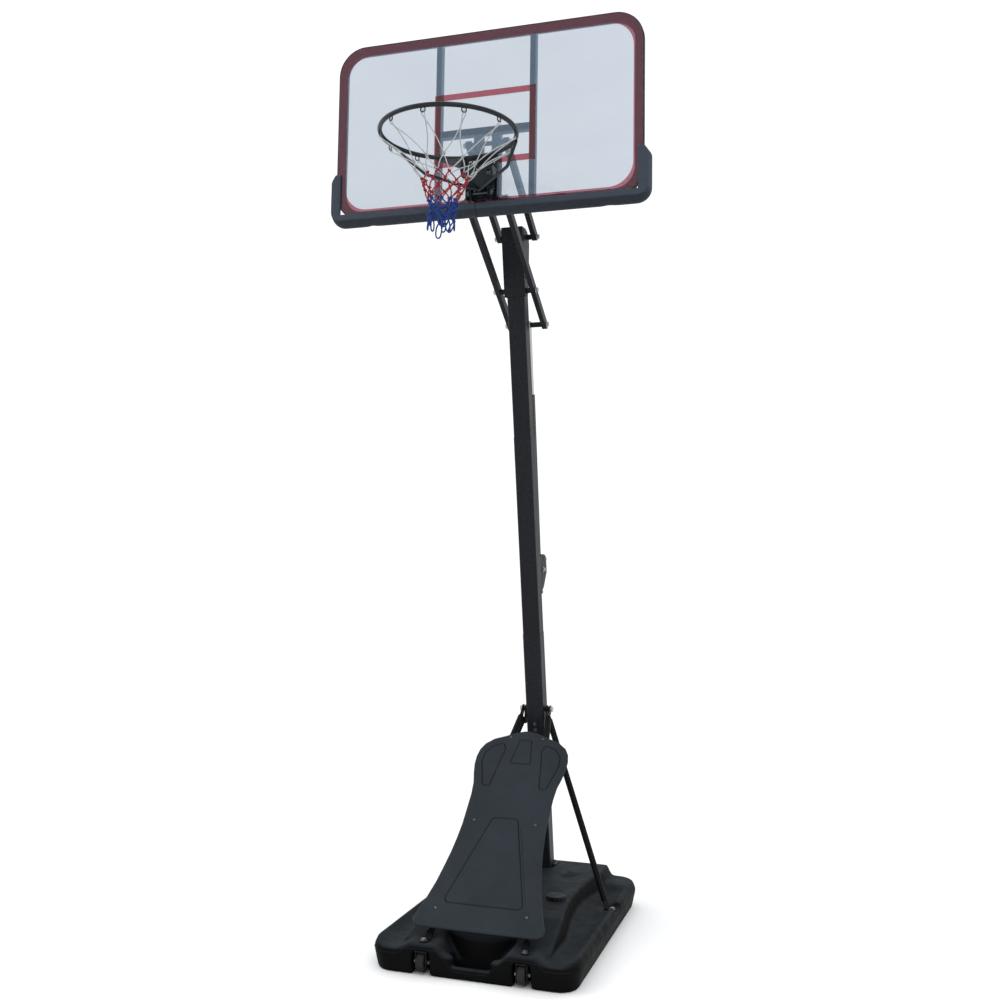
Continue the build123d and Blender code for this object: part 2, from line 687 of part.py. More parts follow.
def board_frame():
    """A rounded frame with a front flange and an outer and an inner lip, open at the back."""
    outer = board_rect(0, BOARD_CORNER)
    inner = board_rect(BORDER, BOARD_CORNER - BORDER)
    flange = behind(outer - inner, SHEET, 2)
    outer_lip = behind(outer - board_rect(2, BOARD_CORNER - 2), 0, SHEET + FRAME_DEPTH)
    inner_lip = behind(
        board_rect(BORDER - 2, BOARD_CORNER - BORDER + 2) - inner, SHEET, FRAME_DEPTH
    )
    return flange + outer_lip + inner_lip


def rail(x):
    z0 = BOARD_BOTTOM + BORDER
    z1 = BOARD_TOP - BORDER
    tube = extrude(tube_profile(RAIL, RAIL, 1.5, 3), z1 - z0)
    return Pos(x, BOARD_FACE + SHEET + RAIL / 2, z0) * tube


def crossbar(z):
    half = RAIL_X - RAIL / 2
    tube = extrude(tube_profile(30, RAIL, 1.5, 3), half, both=True)
    return Pos(0, BOARD_FACE + SHEET + RAIL / 2, z) * Rot(0, 90, 0) * tube


def bracket_channel(x):
    """An upright channel bolted behind the crossbar, with its top corners cut."""
    front = BOARD_FACE + SHEET + RAIL
    z0 = BOARD_BOTTOM + 3
    high = BRACKET_TOP - z0
    outline = Pos(x, 0, z0 + high / 2) * (Plane.XZ * Rectangle(30, high))
    outline = chamfer(outline.vertices().group_by(Axis.Z)[-1], 10)
    block = Pos(0, front + 40, 0) * extrude(outline, 40)
    inside = Pos(x, front + 2.5, z0 - 5) * Box(
        25, 60, high + 20, align=(Align.CENTER, Align.MIN, Align.MIN)
    )
    block -= inside
    for point in (BOARD_LOW, BOARD_HIGH):
        block -= rod_x(point, -90, 90, PIVOT_BOLT_R + BOLT_GAP)
    for z in RIM_BOLT_Z:
        block -= Pos(x, front, z) * Rot(90, 0, 0) * Cylinder(RIM_BOLT_R + BOLT_GAP, 40)
    return block


def pad_half(seam):
    """One L-shaped half of the board's padding: from the seam along the bottom and up the side."""
    front = BOARD_FACE - PAD_THICK
    outer = BOARD_WIDTH / 2 + 26
    inner = BOARD_WIDTH / 2 - 20
    start = seam + PAD_GAP
    bottom = Polyline(
        (inner, PAD_SHELF), (start, PAD_SHELF), (start, PAD_LOW), (outer - 55, PAD_LOW)
    )
    corner = RadiusArc((outer - 55, PAD_LOW), (outer, PAD_LOW + 55), -55)
    side = Polyline(
        (outer, PAD_LOW + 55),
        (outer, PAD_HIGH - 31),
        (outer - 22, PAD_HIGH),
        (inner, PAD_HIGH),
        (inner, PAD_SHELF),
    )
    face = Plane.XZ * make_face(bottom + corner + side)
    solid = Pos(0, front + PAD_DEPTH, 0) * extrude(face, PAD_DEPTH)
    face_at_front = solid.faces().sort_by(Axis.Y)[0]
    low_edges = [
        edge
        for edge in face_at_front.edges()
        if edge.center().Z < PAD_LOW + 5
        or (edge.center().X > inner + 10 and edge.center().Z < PAD_HIGH - 40)
    ]
    solid = chamfer(low_edges, 18, 30, reference=face_at_front)
    slot = Pos(0, -0.5, 0) * behind(board_rect(-1.0, BOARD_CORNER + 1), 0, SHEET + FRAME_DEPTH + 1)
    solid -= slot
    back = Pos(0, BOARD_FACE + SHEET + FRAME_DEPTH, 2800) * Box(
        2 * (ARM_X + 18), 60, 200, align=(Align.CENTER, Align.MIN, Align.CENTER)
    )
    return solid - back


# ---- rim ----
def rim_mount():
    """The steel tray bolted to the board, with two ears for the hinge pin near its bottom."""
    on_front = (Align.CENTER, Align.MIN, Align.CENTER)
    solid = Pos(0, BOARD_FACE - 4, 2934) * Box(126, 4, 164, align=on_front)
    flange = Pos(61, BOARD_FACE - 24, 2934) * Box(4, 20, 164, align=on_front)
    ear = Pos(RIM_EAR_X, BOARD_FACE - 46, 2864) * Box(4, 44, 24, align=on_front)
    for piece in both_sides(flange) + both_sides(ear):
        solid += piece
    for x in (-RIM_BOLT_X, RIM_BOLT_X):
        for z in RIM_BOLT_Z:
            solid -= Pos(x, BOARD_FACE, z) * Rot(90, 0, 0) * Cylinder(RIM_BOLT_R + BOLT_GAP, 40)
    return solid - rod_x(RIM_HINGE, -80, 80, RIM_BOLT_R + BOLT_GAP)


def dome(radius, height):
    """A domed cap over the origin, rising along +Z."""
    return Cylinder(radius, height, align=(Align.CENTER, Align.CENTER, Align.MIN)) & Pos(
        0, 0, height - 1.15 * radius
    ) * Sphere(1.15 * radius)


def hinge_pin():
    """The rim's hinge pin, with a domed nut at each end."""
    half = RIM_EAR_X + 2.2
    pin = rod_x(RIM_HINGE, -half, half, RIM_BOLT_R)
    cap = Pos(half - 0.1, RIM_HINGE[0], RIM_HINGE[1]) * Rot(0, 90, 0) * dome(12, 11)
    for piece in both_sides(cap):
        pin += piece
    return pin


def rim_bolts():
    bolts = []
    for x in (-RIM_BOLT_X, RIM_BOLT_X):
        for z in RIM_BOLT_Z:
            bolts.append(bolt_along((x, BOARD_FACE - 4, z), (0, 1, 0), 46, RIM_BOLT_R, 6))
    return bolts


def ring():
    """The round bar ring. Ten hooks hang below it."""
    return Pos(0, RING_Y, RING_Z) * Torus(RING_RADIUS, RING_BAR_R)


def ring_angles():
    """Directions of the hooks in degrees, counted from the ring's front."""
    both = [a for a in HOOK_ANGLES] + [-a for a in HOOK_ANGLES if 0 < a < 180]
    return sorted(both)


def net_hooks():
    hooks = []
    for angle in ring_angles():
        loop = Pos(0, -RING_RADIUS, -RING_BAR_R - 6.5) * Rot(90, 0, 0) * Torus(8, 2)
        hooks.append(Pos(0, RING_Y, RING_Z) * Rot(0, 0, angle) * loop - ring())
    return hooks


def ring_saddle():
    """The folded plate between the ring's back and the hinge, with its lower flange."""
    back_y = BOARD_FACE - 30
    top = Polyline(
        (-62.0, back_y),
        (62.0, back_y),
        (62.0, back_y - 48),
        (118.0, RING_Y + 196),
        (-118.0, RING_Y + 196),
        (-62.0, back_y - 48),
        close=True,
    )
    level = RING_Z - RING_BAR_R
    sheet = Pos(0, 0, level - 4) * extrude(make_face(top), 4)
    to_front = (Align.CENTER, Align.MAX, Align.MAX)
    solid = sheet + Pos(0, back_y, level) * Box(110, 4, 70, align=to_front)
    cheek = Pos(RIM_EAR_X - 6, back_y + 7, level) * Box(4, 26, 100, align=to_front)
    for piece in both_sides(cheek):
        solid += piece
    solid -= Pos(0, RING_Y + RING_RADIUS, level) * Box(30, 90, 20)
    solid -= cover_wedge(0)
    return solid - rod_x(RIM_HINGE, -80, 80, RIM_BOLT_R + BOLT_GAP)


def cover_wedge(inset):
    """The solid of the spring cover, V-shaped from the front, with its walls moved inwards."""
    tip_y, tip_z = SPRING_COVER_TIP
    toe_y, toe_z = SPRING_COVER_TOE
    back = RIM_HINGE[0] + (5 if inset else 0)
    side = Polyline(
        (0.0, back, tip_z - inset),
        (0.0, tip_y + 1.5 * inset, tip_z - inset),
        (0.0, toe_y + inset, toe_z + inset),
        (0.0, back, toe_z + inset),
        close=True,
    )
    half_top = 62.0 - inset
    front = Polyline(
        (-half_top, 0.0, tip_z),
        (-half_top, 0.0, 2920.0 + inset),
        (-9.0, 0.0, toe_z + inset),
        (9.0, 0.0, toe_z + inset),
        (half_top, 0.0, 2920.0 + inset),
        (half_top, 0.0, tip_z),
        close=True,
    )
    return extrude(make_face(side), 70.0, both=True) & extrude(make_face(front), 2000.0, both=True)


def spring_bolts():
    """Two domed bolts through the sloping front of the spring cover."""
    rise = SPRING_COVER_TIP[1] - SPRING_COVER_TOE[1]
    run = SPRING_COVER_TOE[0] - SPRING_COVER_TIP[0]
    y, z = plus(SPRING_COVER_TIP, (run, -rise), 0.3)
    bolts = []
    for x in (-SPRING_BOLT_X, SPRING_BOLT_X):
        seat = Plane(origin=(x, y, z), z_dir=(0, -rise, -run))
        shank = Cylinder(4, 12, align=(Align.CENTER, Align.CENTER, Align.MAX))
        bolts.append(seat * (shank + dome(11, 9)))
    return bolts


def spring_cover():
    """The pressed cover in front of the rim's return springs."""
    shell = cover_wedge(0) - cover_wedge(3)
    for bolt in spring_bolts():
        shell -= bolt
    return shell


def rim_braces():
    """The bent rod under the ring, from one side of it to the spring cover and back."""
    half = FilletPolyline(
        (216, -1264, RING_Z - 14.5),
        (155, -1170, 2895),
        (0, -1027, 2871),
        radius=30,
    )
    profile = Plane(origin=half @ 0, z_dir=half % 0) * Circle(6)
    rod = sweep(profile, path=half) & Pos(500, 0, 2900) * Box(1000, 4000, 400)
    return rod + mirror(rod, about=Plane.YZ) - cover_wedge(0)


def return_springs():
    springs = []
    for x in (-24, 24):
        coil = Pos(x, BOARD_FACE - 34, 2924) * Rot(90, 0, 0) * (
            Cylinder(12, 26, align=(Align.CENTER, Align.CENTER, Align.MIN))
            - Cylinder(8.5, 50, align=(Align.CENTER, Align.CENTER, Align.MIN))
        )
        springs.append(coil)
    return springs


def rim_spacers():
    """Bushes on the rim's bolts between the clear sheet and the bracket channels."""
    spacers = []
    for x in (-RIM_BOLT_X, RIM_BOLT_X):
        for z in RIM_BOLT_Z:
            bush = Cylinder(9, RAIL, align=(Align.CENTER, Align.CENTER, Align.MAX))
            bush -= Cylinder(RIM_BOLT_R + BOLT_GAP, 3 * RAIL)
            spacers.append(Pos(x, BOARD_FACE + SHEET, z) * Rot(90, 0, 0) * bush)
    return spacers


def net():
    """The hanging net, as a thin sleeve that narrows to its open lower end."""
    top = RING_Z - RING_BAR_R - 19
    levels = [(0, 221), (70, 176), (140, 112), (215, 78), (300, 66), (NET_DROP - 16, 62)]
    outer = [Pos(0, RING_Y, top - drop) * Circle(r) for drop, r in levels]
    inner = [Pos(0, RING_Y, top - drop) * Circle(r - 3) for drop, r in levels]
    return loft(outer) - loft(inner)


# ---- write every node ----
def save_stand():
    save("base_tank", base_tank())
    save("fill_cap", fill_cap())
    save("foot_plate", foot_plate())
    save("pole_screws", *pole_screws())
    for name, x in (("left", -WHEEL_X), ("right", WHEEL_X)):
        save(f"tyre_{name}", wheel_tyre(x))
        save(f"wheel_hub_{name}", wheel_hub(x))
    save("wheel_forks", *[wheel_bracket(x) for x in (-WHEEL_X, WHEEL_X)])
    save("wheel_axles", *[wheel_axle(x) for x in (-WHEEL_X, WHEEL_X)])
    brace_bolt_at = on_pole(BRACE_BOLT_S)
    fit = 2 * POLE_WALL + 0.4
    lower = pole_section(POLE_LOWER, POLE_FOOT_S, LOWER_JOINT_S)
    lower = pole_bolt_holes(lower, [brace_bolt_at], PIVOT_BOLT_R)
    for screw in pole_screws():
        lower -= screw
    middle = pole_section(POLE_MIDDLE, LOWER_JOINT_S, MIDDLE_JOINT_S, POLE_LOWER - fit)
    upper = pole_section(POLE_UPPER, MIDDLE_JOINT_S, POLE_TOP_S, POLE_MIDDLE - fit)
    upper = pole_bolt_holes(upper, [PIVOT_LOW], PIVOT_BOLT_R)
    upper = pole_bolt_holes(upper, [HEAD_BOLT], HEAD_BOLT_R)
    save("pole_lower", lower)
    save("pole_middle", middle)
    save("pole_upper", upper)
    for name, pick in (("left", 1), ("right", 0)):
        save(f"front_brace_{name}", both_sides(front_brace())[pick])
        save(f"side_brace_{name}", both_sides(side_brace())[pick])
    save("brace_bolt", bolt_x(brace_bolt_at, FRONT_EYE_X + BRACE_EYE / 2 + 2, PIVOT_BOLT_R))
    save("foot_bolts", *foot_bolts())
    save("front_cover", front_cover())
    save("cover_screws", *cover_screws())


def save_head():
    head_half = HEAD_WIDTH / 2
    arm_face = ARM_X - ARM_WIDTH / 2 - 0.4
    save("head_bracket", head_bracket())
    save("head_bolt", bolt_x(HEAD_BOLT, head_half + 2, HEAD_BOLT_R))
    pole_face = POLE_UPPER / 2
    inner_face = head_half - HEAD_WALL
    inner = pair_bushes(PIVOT_LOW, pole_face, inner_face)
    inner += both_sides(
        bush_x(HEAD_BOLT, pole_face, inner_face, 9, HEAD_BOLT_R + BOLT_GAP)
    )
    outer = pair_bushes(PIVOT_LOW, head_half, arm_face)
    outer += pair_bushes(PIVOT_TOP, head_half, arm_face)
    save("lower_pivot_bolt", pivot_bolt(PIVOT_LOW))
    save("upper_pivot_bolt", pivot_bolt(PIVOT_TOP))
    save("latch_housing", latch_housing())
    save("strut_bolt", bolt_x(LATCH_PIVOT, LATCH_HALF + 2, LATCH_BOLT_R))
    strut = both_sides(
        bush_x(
            LATCH_PIVOT,
            STRUT_OUTER / 2 + 0.4,
            LATCH_HALF - LATCH_WALL,
            9,
            LATCH_BOLT_R + BOLT_GAP,
        )
    )
    save("stand_spacers", *brace_spacers(), *inner, *outer, *strut)
    save("lever_pin", bolt_x(LEVER_PIVOT, LATCH_HALF + 1.5, LEVER_PIN_R, 1.5))
    save("lever_handle", lever_handle())
    save("strut_outer_tube", strut_outer_tube())
    save("strut_inner_tube", strut_inner_tube())


def save_arms():
    for name, x in (("left", -ARM_X), ("right", ARM_X)):
        tail = plus(TAIL_PIVOT, ARM_WAY, -ARM_END)
        long_arm = arm_tube(x, tail, BOARD_LOW, [TAIL_PIVOT, PIVOT_LOW, BOARD_LOW])
        short_arm = arm_tube(x, PIVOT_TOP, BOARD_HIGH, [PIVOT_TOP, BOARD_HIGH])
        save(f"long_arm_{name}", long_arm)
        save(f"short_arm_{name}", short_arm)
    save("tail_rod", pivot_bolt(TAIL_PIVOT))
    save(
        "tail_spacers",
        *pair_bushes(TAIL_PIVOT, STRUT_INNER / 2 + 1, ARM_X - ARM_WIDTH / 2),
    )


def save_board():
    channel_face = CHANNEL_X + CHANNEL_WIDTH / 2
    arm_face = ARM_X - ARM_WIDTH / 2 - 0.4
    save("board_sheet", board_sheet())
    save("board_frame", board_frame())
    save("crossbar", crossbar(CROSSBAR_Z))
    for name, sign in (("left", -1), ("right", 1)):
        save(f"rail_{name}", rail(sign * RAIL_X))
        save(f"pad_{name}", both_sides(pad_half(sign * PAD_SEAM))[0 if sign > 0 else 1])
    save("bracket_channels", *[bracket_channel(x) for x in (-CHANNEL_X, CHANNEL_X)])
    outer = pair_bushes(BOARD_LOW, channel_face, arm_face, BOARD_BUSH_R)
    outer += pair_bushes(BOARD_HIGH, channel_face, arm_face, BOARD_BUSH_R)
    inner = CHANNEL_X - CHANNEL_WIDTH / 2
    for point in (BOARD_LOW, BOARD_HIGH):
        outer.append(bush_x(point, -inner, inner, BOARD_BUSH_R, PIVOT_BOLT_R + BOLT_GAP))
    save("board_spacers", *outer, *rim_spacers())
    save("board_lower_bolt", pivot_bolt(BOARD_LOW))
    save("board_upper_bolt", pivot_bolt(BOARD_HIGH))


def save_rim():
    save("rim_mount", rim_mount())
    save("rim_bolts", *rim_bolts())
    save("rim_hinge_pin", hinge_pin())
    save("rim_ring", ring())
    save("rim_saddle", ring_saddle())
    save("rim_braces", rim_braces())
    save("spring_bolts", *spring_bolts())
    save("net_hooks", *net_hooks())
    save("spring_cover", spring_cover())
    save("return_springs", *return_springs())
    save("net", net())


save_stand()
save_head()
save_arms()
save_board()
save_rim()
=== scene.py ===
import random
from math import cos, exp, hypot, pi, radians, sin

import bmesh
import bpy
from mathutils import Matrix, Vector
from mathutils.bvhtree import BVHTree


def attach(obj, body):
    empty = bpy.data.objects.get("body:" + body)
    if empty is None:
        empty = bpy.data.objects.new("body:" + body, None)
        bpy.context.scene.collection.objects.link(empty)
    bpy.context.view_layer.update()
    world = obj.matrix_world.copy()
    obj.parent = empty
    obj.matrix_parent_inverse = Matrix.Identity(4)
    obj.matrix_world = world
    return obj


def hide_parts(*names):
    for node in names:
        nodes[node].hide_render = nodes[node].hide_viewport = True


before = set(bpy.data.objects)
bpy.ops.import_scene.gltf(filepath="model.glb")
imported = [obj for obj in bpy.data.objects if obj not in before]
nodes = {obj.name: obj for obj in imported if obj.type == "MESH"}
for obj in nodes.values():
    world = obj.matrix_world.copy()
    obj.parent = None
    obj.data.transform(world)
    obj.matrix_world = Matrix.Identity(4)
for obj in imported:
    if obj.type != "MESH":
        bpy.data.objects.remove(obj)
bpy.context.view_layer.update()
random.seed(7)

WHITE = (1.0, 1.0, 1.0)
UP = Vector((0.0, 0.0, 1.0))


def node_box(name):
    """The lowest and the highest corner of a CAD node."""
    places = [nodes[name].matrix_world @ vertex.co for vertex in nodes[name].data.vertices]
    low = Vector([min(place[k] for place in places) for k in range(3)])
    high = Vector([max(place[k] for place in places) for k in range(3)])
    return low, high


BOARD_LOW, BOARD_HIGH = node_box("board_frame")
PAD_LOW, PAD_HIGH = node_box("pad_right")
RING_LOW, RING_HIGH = node_box("rim_ring")


# ---- stage: camera, floor and light ----
CAMERA_PLACE = Vector((1.301, -4.766, 1.470))
CAMERA_TURN = radians(17.366)       # to the left of straight at the board
CAMERA_RISE = radians(4.579)
CAMERA_ROLL = radians(0.796)
CAMERA_SENSOR = 36.0                # sensor width and focal length in mm
CAMERA_LENS = 39.20
CAMERA_SHIFT = (-0.0086, -0.0192)
CAMERA_RANGE = 200.0
FLOOR_REACH = 90.0
SKY_COLOUR = (0.97, 0.985, 1.0, 1.0)
SKY_STRENGTH = 1.12
# Each lamp's name, place, aim, size and power.
LAMPS = (
    ("key", (3.5, -6.0, 6.0), (0, -0.5, 1.6), 4.0, 120.0),
    ("rim_light", (-4.0, -3.0, 5.0), (0, -0.5, 1.5), 3.0, 60.0),
)


def new_object(name, data):
    piece = bpy.data.objects.new(name, data)
    bpy.context.collection.objects.link(piece)
    return piece


def add_camera():
    data = bpy.data.cameras.new("camera")
    data.sensor_width = CAMERA_SENSOR
    data.lens = CAMERA_LENS
    data.shift_x, data.shift_y = CAMERA_SHIFT
    data.clip_end = CAMERA_RANGE
    camera = new_object("camera", data)
    forward = Vector(
        (
            -sin(CAMERA_TURN) * cos(CAMERA_RISE),
            cos(CAMERA_TURN) * cos(CAMERA_RISE),
            sin(CAMERA_RISE),
        )
    )
    level = forward.cross(UP).normalized()
    upright = level.cross(forward)
    right = level * cos(CAMERA_ROLL) + upright * sin(CAMERA_ROLL)
    up = upright * cos(CAMERA_ROLL) - level * sin(CAMERA_ROLL)
    turn = Matrix((right, up, -forward)).transposed().to_4x4()
    camera.matrix_world = Matrix.Translation(CAMERA_PLACE) @ turn
    bpy.context.scene.camera = camera


def add_lamp(name, place, aim, size, power):
    data = bpy.data.lights.new(name, "AREA")
    data.size = size
    data.energy = power
    lamp = new_object(name, data)
    lamp.location = place
    lamp.rotation_euler = (Vector(aim) - Vector(place)).to_track_quat("-Z", "Y").to_euler()


def add_floor():
    mesh = bpy.data.meshes.new("floor")
    corners = [(x * FLOOR_REACH, y * FLOOR_REACH, 0) for x, y in ((-1, -1), (1, -1), (1, 1), (-1, 1))]
    mesh.from_pydata(corners, [], [(0, 1, 2, 3)])
    mesh.materials.append(floor_material())
    floor = new_object("floor", mesh)


def add_sky():
    world = bpy.data.worlds.new("studio")
    bpy.context.scene.world = world
    world.use_nodes = True
    back = world.node_tree.nodes["Background"]
    back.inputs["Color"].default_value = SKY_COLOUR
    back.inputs["Strength"].default_value = SKY_STRENGTH


# ---- materials ----
# Places of a Mix node's colour sockets, which share their names with its other sockets.
MIX_FACTOR, MIX_FIRST, MIX_SECOND, MIX_RESULT = 0, 6, 7, 2


class Graph:
    """A small helper round one material's node tree."""

    def __init__(self, name):
        self.material = bpy.data.materials.new(name)
        self.material.use_nodes = True
        self.tree = self.material.node_tree
        self.shader = self.tree.nodes["Principled BSDF"]
        self.place = self.add("ShaderNodeTexCoord").outputs["Object"]

    def add(self, kind, **settings):
        node = self.tree.nodes.new(kind)
        for key, value in settings.items():
            setattr(node, key, value)
        return node

    def link(self, source, target):
        self.tree.links.new(source, target)

    def feed(self, name, source):
        """Drives one of the shader's inputs from a node."""
        self.link(source, self.shader.inputs[name])

    def set(self, **values):
        """Sets the shader's inputs to constants."""
        for key, value in values.items():
            self.shader.inputs[key.replace("_", " ")].default_value = value

    def noise(self, scale, detail=4.0, roughness=0.5, stretch=None):
        node = self.add("ShaderNodeTexNoise")
        node.inputs["Scale"].default_value = scale
        node.inputs["Detail"].default_value = detail
        node.inputs["Roughness"].default_value = roughness
        if stretch:
            mapping = self.add("ShaderNodeMapping")
            mapping.inputs["Scale"].default_value = stretch
            self.link(self.place, mapping.inputs["Vector"])
            self.link(mapping.outputs["Vector"], node.inputs["Vector"])
        else:
            self.link(self.place, node.inputs["Vector"])
        return node.outputs["Fac"]

    def ramp(self, source, low, first, high, second):
        """The first colour up to the low value, and the second from the high one on."""
        node = self.add("ShaderNodeValToRGB")
        for point, position, colour in zip(node.color_ramp.elements, (low, high), (first, second)):
            point.position = position
            point.color = (*colour, 1.0)
        self.link(source, node.inputs["Fac"])
        return node.outputs["Color"]

    def mottle(self, colour, source, first, second, low=0.3, high=0.7):
        """The colour at a first strength up to the low value, and a second from the high one on."""
        return self.ramp(source, low, shade(colour, first), high, shade(colour, second))

    def spread(self, source, low, high, source_low=0.3, source_high=0.7):
        node = self.add("ShaderNodeMapRange")
        node.inputs["From Min"].default_value = source_low
        node.inputs["From Max"].default_value = source_high
        node.inputs["To Min"].default_value = low
        node.inputs["To Max"].default_value = high
        self.link(source, node.inputs["Value"])
        return node.outputs["Result"]

    def blend(self, kind, first, second):
        node = self.add("ShaderNodeMix", data_type="RGBA", blend_type=kind)
        self.link(first, node.inputs[MIX_FIRST])
        self.link(second, node.inputs[MIX_SECOND])
        return node

    def mix(self, factor, first, second):
        node = self.blend("MIX", first, second)
        self.link(factor, node.inputs[MIX_FACTOR])
        return node.outputs[MIX_RESULT]

    def multiply(self, first, second):
        node = self.blend("MULTIPLY", first, second)
        node.inputs[MIX_FACTOR].default_value = 1.0
        return node.outputs[MIX_RESULT]

    def bump(self, height, strength, distance, under=None):
        node = self.add("ShaderNodeBump")
        node.inputs["Strength"].default_value = strength
        node.inputs["Distance"].default_value = distance
        self.link(height, node.inputs["Height"])
        if under:
            self.link(under, node.inputs["Normal"])
        self.feed("Normal", node.outputs["Normal"])
        return node.outputs["Normal"]

    def pointed(self, low, high):
        """How far the surface stands out: 0 at the low value and 1 at the high one."""
        node = self.add("ShaderNodeNewGeometry")
        return self.spread(node.outputs["Pointiness"], 0.0, 1.0, low, high)

    def edges(self, low=0.52, high=0.6):
        """1 on sharp outer edges and 0 elsewhere."""
        return self.pointed(low, high)

    def crevices(self):
        """1 in grooves and inner corners and 0 elsewhere."""
        return self.pointed(0.485, 0.44)

    def upward(self, low=0.35, high=0.8):
        """1 on faces that look up and 0 on walls."""
        normal = self.add("ShaderNodeNewGeometry").outputs["Normal"]
        parts = self.add("ShaderNodeSeparateXYZ")
        self.link(normal, parts.inputs["Vector"])
        return self.spread(parts.outputs["Z"], 0.0, 1.0, low, high)

    def shade_undersides(self, tone, share):
        """The tone, darkened on undersides by the given share: painted shade."""
        under = self.ramp(self.upward(-0.6, -0.1), 0.0, shade(WHITE, share), 1.0, WHITE)
        return self.multiply(tone, under)


def shade(colour, factor):
    return tuple(min(1.0, part * factor) for part in colour)


def floor_material():
    g = Graph("floor")
    g.feed("Base Color", g.mottle(WHITE, g.noise(0.7), 0.93, 0.96))
    g.set(Roughness=0.9)
    return g.material


def moulded_plastic(name, colour, roughness, shine=0.1, top_tone=None, grain=1100.0, worn=1.7):
    """Plastic from a textured mould: fine grain, paler worn edges, painted shade in crevices and on
    undersides, and an optional paler tone on faces that look up.
    """
    g = Graph(name)
    tone = g.mottle(colour, g.noise(5.0, 3.0), 0.86, 1.14)
    rubbed = g.mottle(colour, g.noise(60.0), worn, 1.15, low=0.35)
    tone = g.mix(g.edges(), tone, rubbed)
    # A paler tone on faces that look up, where one is given.
    if top_tone:
        tone = g.mix(g.upward(), tone, g.mottle(top_tone, g.noise(14.0, 6.0), 0.8, 1.2, high=0.75))
    # Painted shade: grooves and inner corners are darkened to a quarter of the tone.
    crevice_shade = g.ramp(g.crevices(), 0.0, WHITE, 1.0, shade(WHITE, 0.25))
    # Painted shade: faces that look down are darkened.
    g.feed("Base Color", g.shade_undersides(g.multiply(tone, crevice_shade), 0.35))
    g.feed("Roughness", g.spread(g.noise(26.0, 5.0), roughness - 0.08, roughness + 0.08))
    waves = g.bump(g.noise(18.0, 2.0), 0.04, 0.003)
    g.bump(g.noise(grain, 2.0, 0.6), 0.25, 0.0004, waves)
    g.set(Specular_IOR_Level=shine)
    return g.material


def powder_coat(name, colour, roughness, shine=0.1):
    """Baked paint with a slight orange peel, rubbed along its edges."""
    g = Graph(name)
    tone = g.mottle(colour, g.noise(3.0, 3.0), 0.92, 1.1)
    rubbed = g.mottle(colour, g.noise(120.0, 6.0), 1.0, 1.88, 0.4, 0.68)
    g.feed("Base Color", g.mix(g.edges(0.53, 0.64), tone, rubbed))
    streaks = g.noise(40.0, 6.0, 0.6, (1, 1, 0.1))
    g.feed("Roughness", g.spread(streaks, roughness - 0.05, roughness + 0.08))
    g.bump(g.noise(420.0, 1.0), 0.03, 0.0004)
    g.set(Specular_IOR_Level=shine)
    return g.material


def plated_steel(name, colour, roughness=0.32):
    """Zinc or black plating with fine darker spots."""
    g = Graph(name)
    g.feed("Base Color", g.mottle(colour, g.noise(260.0, 5.0), 0.7, 1.0, high=0.65))
    g.feed("Roughness", g.spread(g.noise(90.0, 6.0), roughness - 0.1, roughness + 0.14))
    g.bump(g.noise(700.0, 3.0), 0.12, 0.0003)
    g.set(Metallic=1.0)
    return g.material


def soft_rubber(name, colour, roughness=0.72, shine=0.2):
    """Matt rubber or foam skin with pores, scuffed along its edges."""
    g = Graph(name)
    tone = g.mottle(colour, g.noise(7.0, 5.0), 0.9, 1.1)
    scuff = g.mottle(colour, g.noise(40.0, 8.0, 0.7), 1.1, 1.6, 0.45, 0.75)
    # Painted shade: faces that look down are darkened.
    g.feed("Base Color", g.shade_undersides(g.mix(g.edges(0.51, 0.6), tone, scuff), 0.45))
    g.feed("Roughness", g.spread(g.noise(50.0, 5.0), roughness - 0.1, roughness + 0.08))
    pores = g.bump(g.noise(1500.0, 2.0), 0.3, 0.0003)
    g.bump(g.noise(30.0, 3.0), 0.12, 0.002, pores)
    g.set(Specular_IOR_Level=shine)
    return g.material


def clear_sheet_material():
    """Clear plastic with a painted bluish reflection of the sky in its colour, and faint wiping marks."""
    g = Graph("clear_sheet")
    # Painted reflection: the bluish colour stands in for the sky seen in the sheet.
    g.feed("Base Color", g.mottle((0.20, 0.27, 0.36), g.noise(1.6, 2.0), 0.94, 1.06))
    g.feed("Alpha", g.spread(g.noise(3.0, 3.0, 0.5, (1, 1, 2)), 0.338, 0.358))
    g.feed("Roughness", g.spread(g.noise(30.0, 8.0), 0.02, 0.07))
    g.set(IOR=1.49)
    return g.material


def print_material(name, colour):
    """Translucent screen-printed ink with a glossy face: it tints what is behind it."""
    g = Graph(name)
    g.feed("Base Color", g.mottle(colour, g.noise(30.0, 6.0), 0.93, 1.07))
    g.set(Transmission_Weight=0.9, IOR=1.0, Roughness=0.0)
    g.set(Coat_Weight=1.0, Coat_Roughness=0.08)
    return g.material


def cord_material(name, colour):
    """Braided cord: a fine crossed weave and a slightly soiled tone."""
    g = Graph(name)
    soil = g.noise(60.0, 6.0)
    g.feed("Base Color", g.mottle(colour, soil, 0.7, 1.0, low=0.35))
    weave = g.add("ShaderNodeMath", operation="MULTIPLY")
    for strand, turn in enumerate((0.7, -0.7)):
        mapping = g.add("ShaderNodeMapping")
        mapping.inputs["Rotation"].default_value = (turn, turn, 0.0)
        g.link(g.place, mapping.inputs["Vector"])
        wave = g.add("ShaderNodeTexWave")
        wave.inputs["Scale"].default_value = 190.0
        g.link(mapping.outputs["Vector"], wave.inputs["Vector"])
        g.link(wave.outputs["Fac"], weave.inputs[strand])
    g.bump(weave.outputs["Value"], 0.5, 0.0006)
    g.feed("Roughness", g.spread(soil, 0.75, 0.95))
    g.set(Sheen_Weight=0.06, Specular_IOR_Level=0.25)
    return g.material


# ---- mesh helpers ----
def shade_smooth(mesh):
    mesh.polygons.foreach_set("use_smooth", [True] * len(mesh.polygons))


